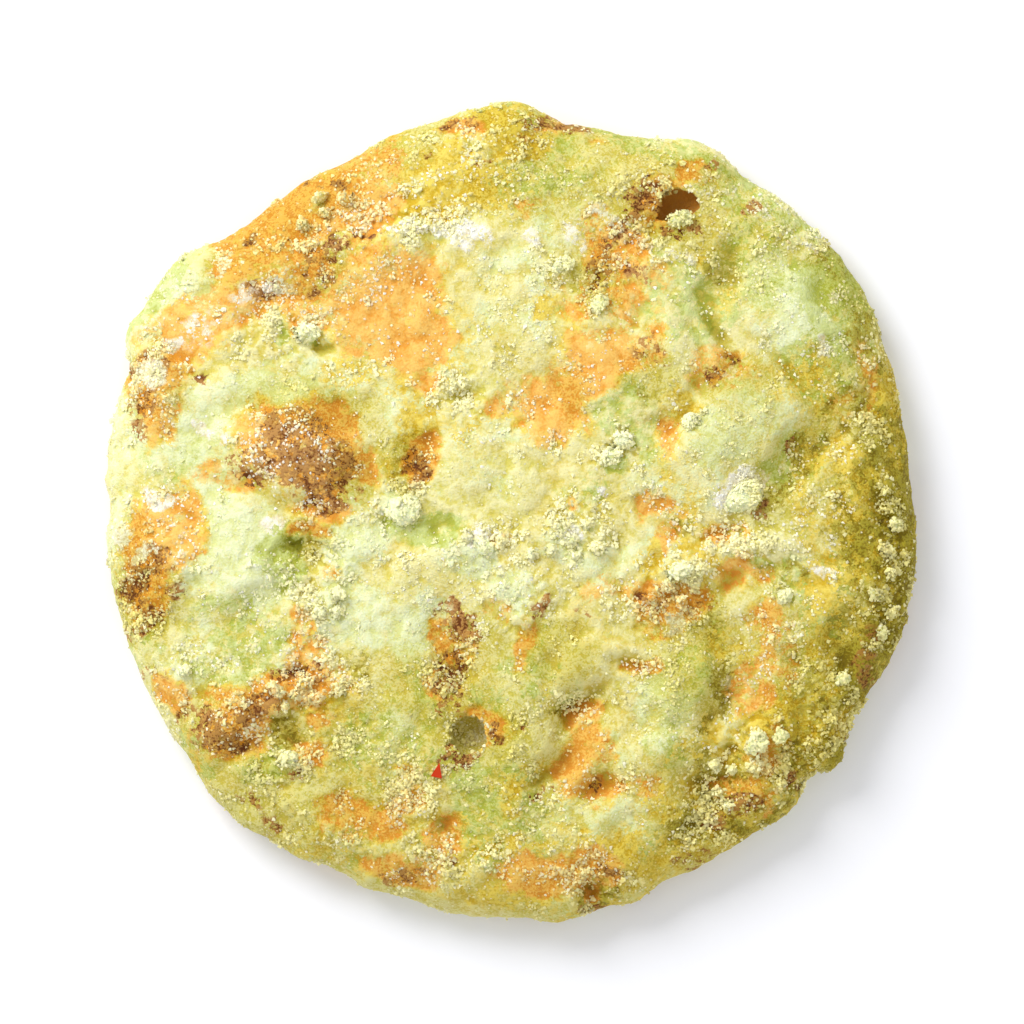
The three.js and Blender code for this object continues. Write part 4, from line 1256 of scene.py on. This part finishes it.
def crumb_balls(patch, place):
    """The crumbs of one patch, spread evenly over its oval."""
    middle_x, middle_y, half_length, half_width, turn, count = place
    cosine, sine = math.cos(math.radians(turn)), math.sin(math.radians(turn))
    golden_angle = math.pi * (3 - math.sqrt(5))
    crumbs = []
    for k in range(count):
        out = math.sqrt((k + float(scattered(k, patch, 2))) / count)
        along = half_length * out * math.cos(k * golden_angle + patch)
        across = half_width * out * math.sin(k * golden_angle + patch)
        x = middle_x + along * cosine - across * sine
        y = middle_y + along * sine + across * cosine
        size = CRUMB_SIZE * (0.6 + 0.5 * float(scattered(k, patch, 3)))
        z = height_at(x, y) + size * (0.5 - LUMP_SUNK)
        sizes = (size * 1.2, size, size)
        crumbs.append(chipped_ball(CRUMB_DETAIL, (x, y, z), sizes, 360 * out, 10 * patch + k))
    return crumbs


def make_lumps():
    """The lumps and crumbs, rougher than in the solid, and how minty each point is."""
    parts = []
    for index, (x, y, *sizes, turn) in enumerate(LUMPS):
        z = height_at(x, y) + sizes[2] * (0.5 - LUMP_SUNK)
        swelled = [LUMP_SWELL * size for size in sizes]
        parts.append(chipped_ball(LUMP_DETAIL, (x, y, z), swelled, turn, index + 1))
    for patch, place in enumerate(CRUMB_PATCHES):
        parts += crumb_balls(patch, place)
    kinds = [MINTY_LUMPS] * len(LUMPS) + [MINTY_CRUMBS] * (len(parts) - len(LUMPS))
    minty = np.repeat(kinds, [len(points) for points, _ in parts])
    return *joined(parts), minty


def scatter_places(points, triangles, weights, count, draw):
    """Random places on the triangles, as many on each as its area and weight say."""
    a, b, c = (points[triangles[:, corner]] for corner in range(3))
    normals = np.cross(b - a, c - a)
    area = np.linalg.norm(normals, axis=1)
    chance = area * weights[triangles].mean(1)
    chosen = draw.choice(len(triangles), count, p=chance / chance.sum())
    u = np.sqrt(draw.random(count))[:, None]
    v = draw.random(count)[:, None]
    places = (1 - u) * a[chosen] + u * (1 - v) * b[chosen] + u * v * c[chosen]
    return places, normals[chosen] / area[chosen, None], triangles[chosen, 0]


def turned_at_random(count, draw):
    """Random rotation matrices."""
    turns = draw.normal(size=(4, count))
    w, x, y, z = turns / np.linalg.norm(turns, axis=0)
    return np.array([
        [1 - 2 * (y * y + z * z), 2 * (x * y - z * w), 2 * (x * z + y * w)],
        [2 * (x * y + z * w), 1 - 2 * (x * x + z * z), 2 * (y * z - x * w)],
        [2 * (x * z - y * w), 2 * (y * z + x * w), 1 - 2 * (x * x + y * y)],
    ]).transpose(2, 0, 1)


def strewn(places, normals, sizes, sunk, draw):
    """A crystal at each place, each turned and knocked out of shape."""
    corners, faces = crystal_shape()
    count = len(places)
    ragged_corners = corners * (1 + CRYSTAL_STRAY * draw.uniform(-1, 1, (count, len(corners), 1)))
    ragged_corners *= draw.uniform(0.75, 1.3, (count, 1, 3))
    tumbled = np.einsum("nij,nkj->nki", turned_at_random(count, draw), ragged_corners)
    centres = places + normals * (sizes * (0.5 - sunk))[:, None]
    points = tumbled * sizes[:, None, None] + centres[:, None, :]
    triangles = faces[None] + (np.arange(count) * len(corners))[:, None, None]
    return points.reshape(-1, 3), triangles.reshape(-1, 3)


def crystal_shape():
    """Six corners and eight faces, from half a unit out."""
    corners = np.array([(1, 0, 0), (-1, 0, 0), (0, 1, 0), (0, -1, 0), (0, 0, 1), (0, 0, -1)]) * 0.5
    faces = []
    for x, y, z in np.ndindex(2, 2, 2):
        face = (x, 2 + y, 4 + z)
        faces.append(face if (x + y + z) % 2 == 0 else face[::-1])
    return corners, np.array(faces)


def heaped(places, normals, owners, heap, draw):
    """A small heap of places round each of the given ones."""
    normals = np.repeat(normals, heap, axis=0)
    offsets = draw.normal(size=normals.shape) * HEAP_SPREAD
    offsets -= 0.4 * (offsets * normals).sum(1, keepdims=True) * normals
    return np.repeat(places, heap, axis=0) + offsets, normals, np.repeat(owners, heap)


def make_strewn(name, kind, ground, weights, material):
    """One piece of many grains strewn over the ground, singly or in heaps."""
    count, heap, low, high, sunk, seed = kind
    points, triangles, masks = ground
    draw = np.random.default_rng(seed)
    places, normals, owners = scatter_places(points, triangles, weights, count // heap, draw)
    if heap > 1:
        places, normals, owners = heaped(places, normals, owners, heap, draw)
    widths = low + (high - low) * draw.random(len(places)) ** SMALLER_WIDTHS
    grains, faces = strewn(places, normals, widths, sunk, draw)
    grains[:, 2] = np.maximum(grains[:, 2], 0.0)
    each = len(grains) // len(places)
    own = {mask: np.repeat(values[owners], each) for mask, values in masks.items()}
    own["dip"] *= LOOSE_CREVICE_SHADE
    chances = np.repeat(draw.random((len(places), 3)), each, axis=0)
    vectors = {"chance": chances, "ground": GROUND_SHARE * np.repeat(normals, each, axis=0)}
    dress(new_piece(name, grains, faces, own, False, vectors), material)


RED_FLAKE = [(-6.2, -21.4), (-6.95, -22.6), (-6.0, -22.8)]
RED_FLAKE_THICKNESS = 0.25
RED_FLAKE_RISE = 0.15  # above the crust
RED_FLAKE_TILT = 0.25  # and of its tip above that


def make_red_flake():
    """A three-cornered red flake that leans on the crust."""
    corners = np.array(RED_FLAKE)
    ground = top_height(corners[:, 0], corners[:, 1]) + RED_FLAKE_RISE
    ground[0] += RED_FLAKE_TILT
    low = np.column_stack([corners, ground])
    points = np.concatenate([low, low + (0, 0, RED_FLAKE_THICKNESS)])
    sides = [(0, 3, 4), (0, 4, 1), (1, 4, 5), (1, 5, 2), (2, 5, 3), (2, 3, 0)]
    triangles = np.array([(0, 1, 2), (5, 4, 3), *sides])
    material, surface = new_material("red_flake")
    set_sockets(surface, {
        "Base Color": shade(0.66, 0.045, 0.006),
        "Roughness": 0.6,
        "Specular IOR Level": SHEEN,
    })
    dress(new_piece("red_flake", points, triangles, {}, False), material)


ALL_GRAINS_FROM = 1.8  # height, just under the rim
FEW_GRAINS_FROM = 0.6
FEW_GRAINS = 0.25


def grain_room(points):
    """How many grains the ground holds: all from the rim up, few below it, none where it lies flat."""
    few = np.where(points[:, 2] > FEW_GRAINS_FROM, FEW_GRAINS, 0.0)
    return np.where(points[:, 2] > ALL_GRAINS_FROM, 1.0, few)


def make_body_piece(crust):
    """The body that stands for the solid, and its points, triangles and masks."""
    points, triangles = make_body()
    masks = masks_with_lift(points, triangles)
    body = new_piece("cracker_crust", points, triangles, masks, True)
    dress(body, crust)
    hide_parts(NODE)
    return points, triangles, masks


def make_lump_piece(crust):
    """The lumps and crumbs as one piece, and its points, triangles and masks."""
    points, triangles, minty = make_lumps()
    masks = masks_with_lift(points, triangles)
    masks["lump"] = minty * (1 - MINTY_LOSS * masks["bare"] * (minty < MINTY_LUMPS))
    for name in ("bare", "brown", "olive", "gold", "green", "white"):
        masks[name] = masks[name] * (1 - minty)
    masks["deep"] = masks["deep"] * LUMP_DEEPENING_AND_SHADE
    masks["dip"] = masks["dip"] * LOOSE_CREVICE_SHADE
    masks["crumbly"] = np.maximum(masks["crumbly"], LEAST_CRUMBLINESS)
    dress(new_piece("crust_lumps", points, triangles, masks, True), crust)
    return points, triangles, masks


def make_loose_sugar(body, lumps):
    """Crumbs and grains strewn over the body and the lumps."""
    points, triangles = joined([body[:2], lumps[:2]])
    masks = {name: np.concatenate([values, lumps[2][name]]) for name, values in body[2].items()}
    ground = (points, triangles, masks)
    room = grain_room(points) * (1 - masks["hollow"])
    crumbly, brown = masks["crumbly"], masks["brown"]
    on_lumps = np.concatenate([np.zeros(len(body[0])), np.ones(len(lumps[0]))])
    clumpy = np.maximum(smooth_step(lattice_noise(points, 1.5, 91), -0.1, 0.5), on_lumps)
    dusted = 0.06 + 0.3 * brown + 0.3 * masks["grainy"] + 4 * masks["white"] ** 2 + 0.2 * masks["bare"]
    strewn_kinds = [
        ("small_crumbs", SMALL_CRUMBS, room * clumpy * (0.08 + crumbly) * (1 - 0.7 * brown),
         grain_material("crumb_sugar", 0.7, CREAM)),
        ("crust_grains", CRUST_GRAINS, room * (0.1 + clumpy) * (0.3 + crumbly) * (1 - 0.6 * brown),
         grain_material("tinted_sugar", 0.55, CREAM)),
        ("white_grains", WHITE_GRAINS, room * (0.1 + clumpy) * dusted * (1 - 0.7 * on_lumps),
         grain_material("white_sugar", 0.8, SNOW)),
    ]
    for name, kind, weights, material in strewn_kinds:
        make_strewn(name, kind, ground, weights, material)


def make_cracker():
    """All pieces, the body first, as the loose sugar is strewn over it and the lumps."""
    crust = crust_material()
    body = make_body_piece(crust)
    lumps = make_lump_piece(crust)
    make_loose_sugar(body, lumps)
    make_red_flake()


# ---- stage -------------------------------------------------------------------------------------

CAMERA_DISTANCE = 0.6
FRAME_WIDTH = 0.08828  # of the photograph, at the height of the rim
SENSOR = 36.0
FLOOR_SIZE = 3.0
WORLD_STRENGTH = 0.7
KEY_PLACE = (-0.46, 0.55, 0.56)
KEY_SIZE = 0.45
KEY_POWER = 6.3


def add_floor():
    """A pale matt floor."""
    bpy.ops.mesh.primitive_plane_add(size=FLOOR_SIZE, location=(0, 0, 0))
    floor = bpy.context.object
    floor.name = "floor"
    material, surface = new_material("white_table")
    set_sockets(surface, {
        "Base Color": shade(0.91, 0.92, 0.97),
        "Roughness": 0.9,
        "Specular IOR Level": 0.0,
        "Emission Color": UNTINTED,
        "Emission Strength": 0.06,
    })
    floor.data.materials.append(material)


def add_softbox(name, place, size, power):
    """A square soft light that looks at the origin."""
    data = bpy.data.lights.new(name, "AREA")
    data.size = size
    data.energy = power
    light = bpy.data.objects.new(name, data)
    bpy.context.scene.collection.objects.link(light)
    light.location = place
    direction = -light.location.normalized()
    light.rotation_mode = "QUATERNION"
    light.rotation_quaternion = direction.to_track_quat("-Z", "Y")


def add_light():
    """Even light from all round, and one softbox at the upper left."""
    world = bpy.data.worlds.new("studio")
    world.use_nodes = True
    background = world.node_tree.nodes["Background"]
    set_sockets(background, {"Color": UNTINTED, "Strength": WORLD_STRENGTH})
    bpy.context.scene.world = world
    add_softbox("key", KEY_PLACE, KEY_SIZE, KEY_POWER)


def add_camera():
    """The camera, straight above the middle."""
    data = bpy.data.cameras.new("camera")
    data.sensor_width = SENSOR
    data.lens = SENSOR * CAMERA_DISTANCE / FRAME_WIDTH
    data.clip_start = 0.01
    camera = bpy.data.objects.new("camera", data)
    bpy.context.scene.collection.objects.link(camera)
    camera.location = (0, 0, WIDEST_HEIGHT * MM + CAMERA_DISTANCE)
    bpy.context.scene.camera = camera


make_cracker()
add_floor()
add_light()
add_camera()
bpy.context.scene.view_settings.view_transform = "Standard"
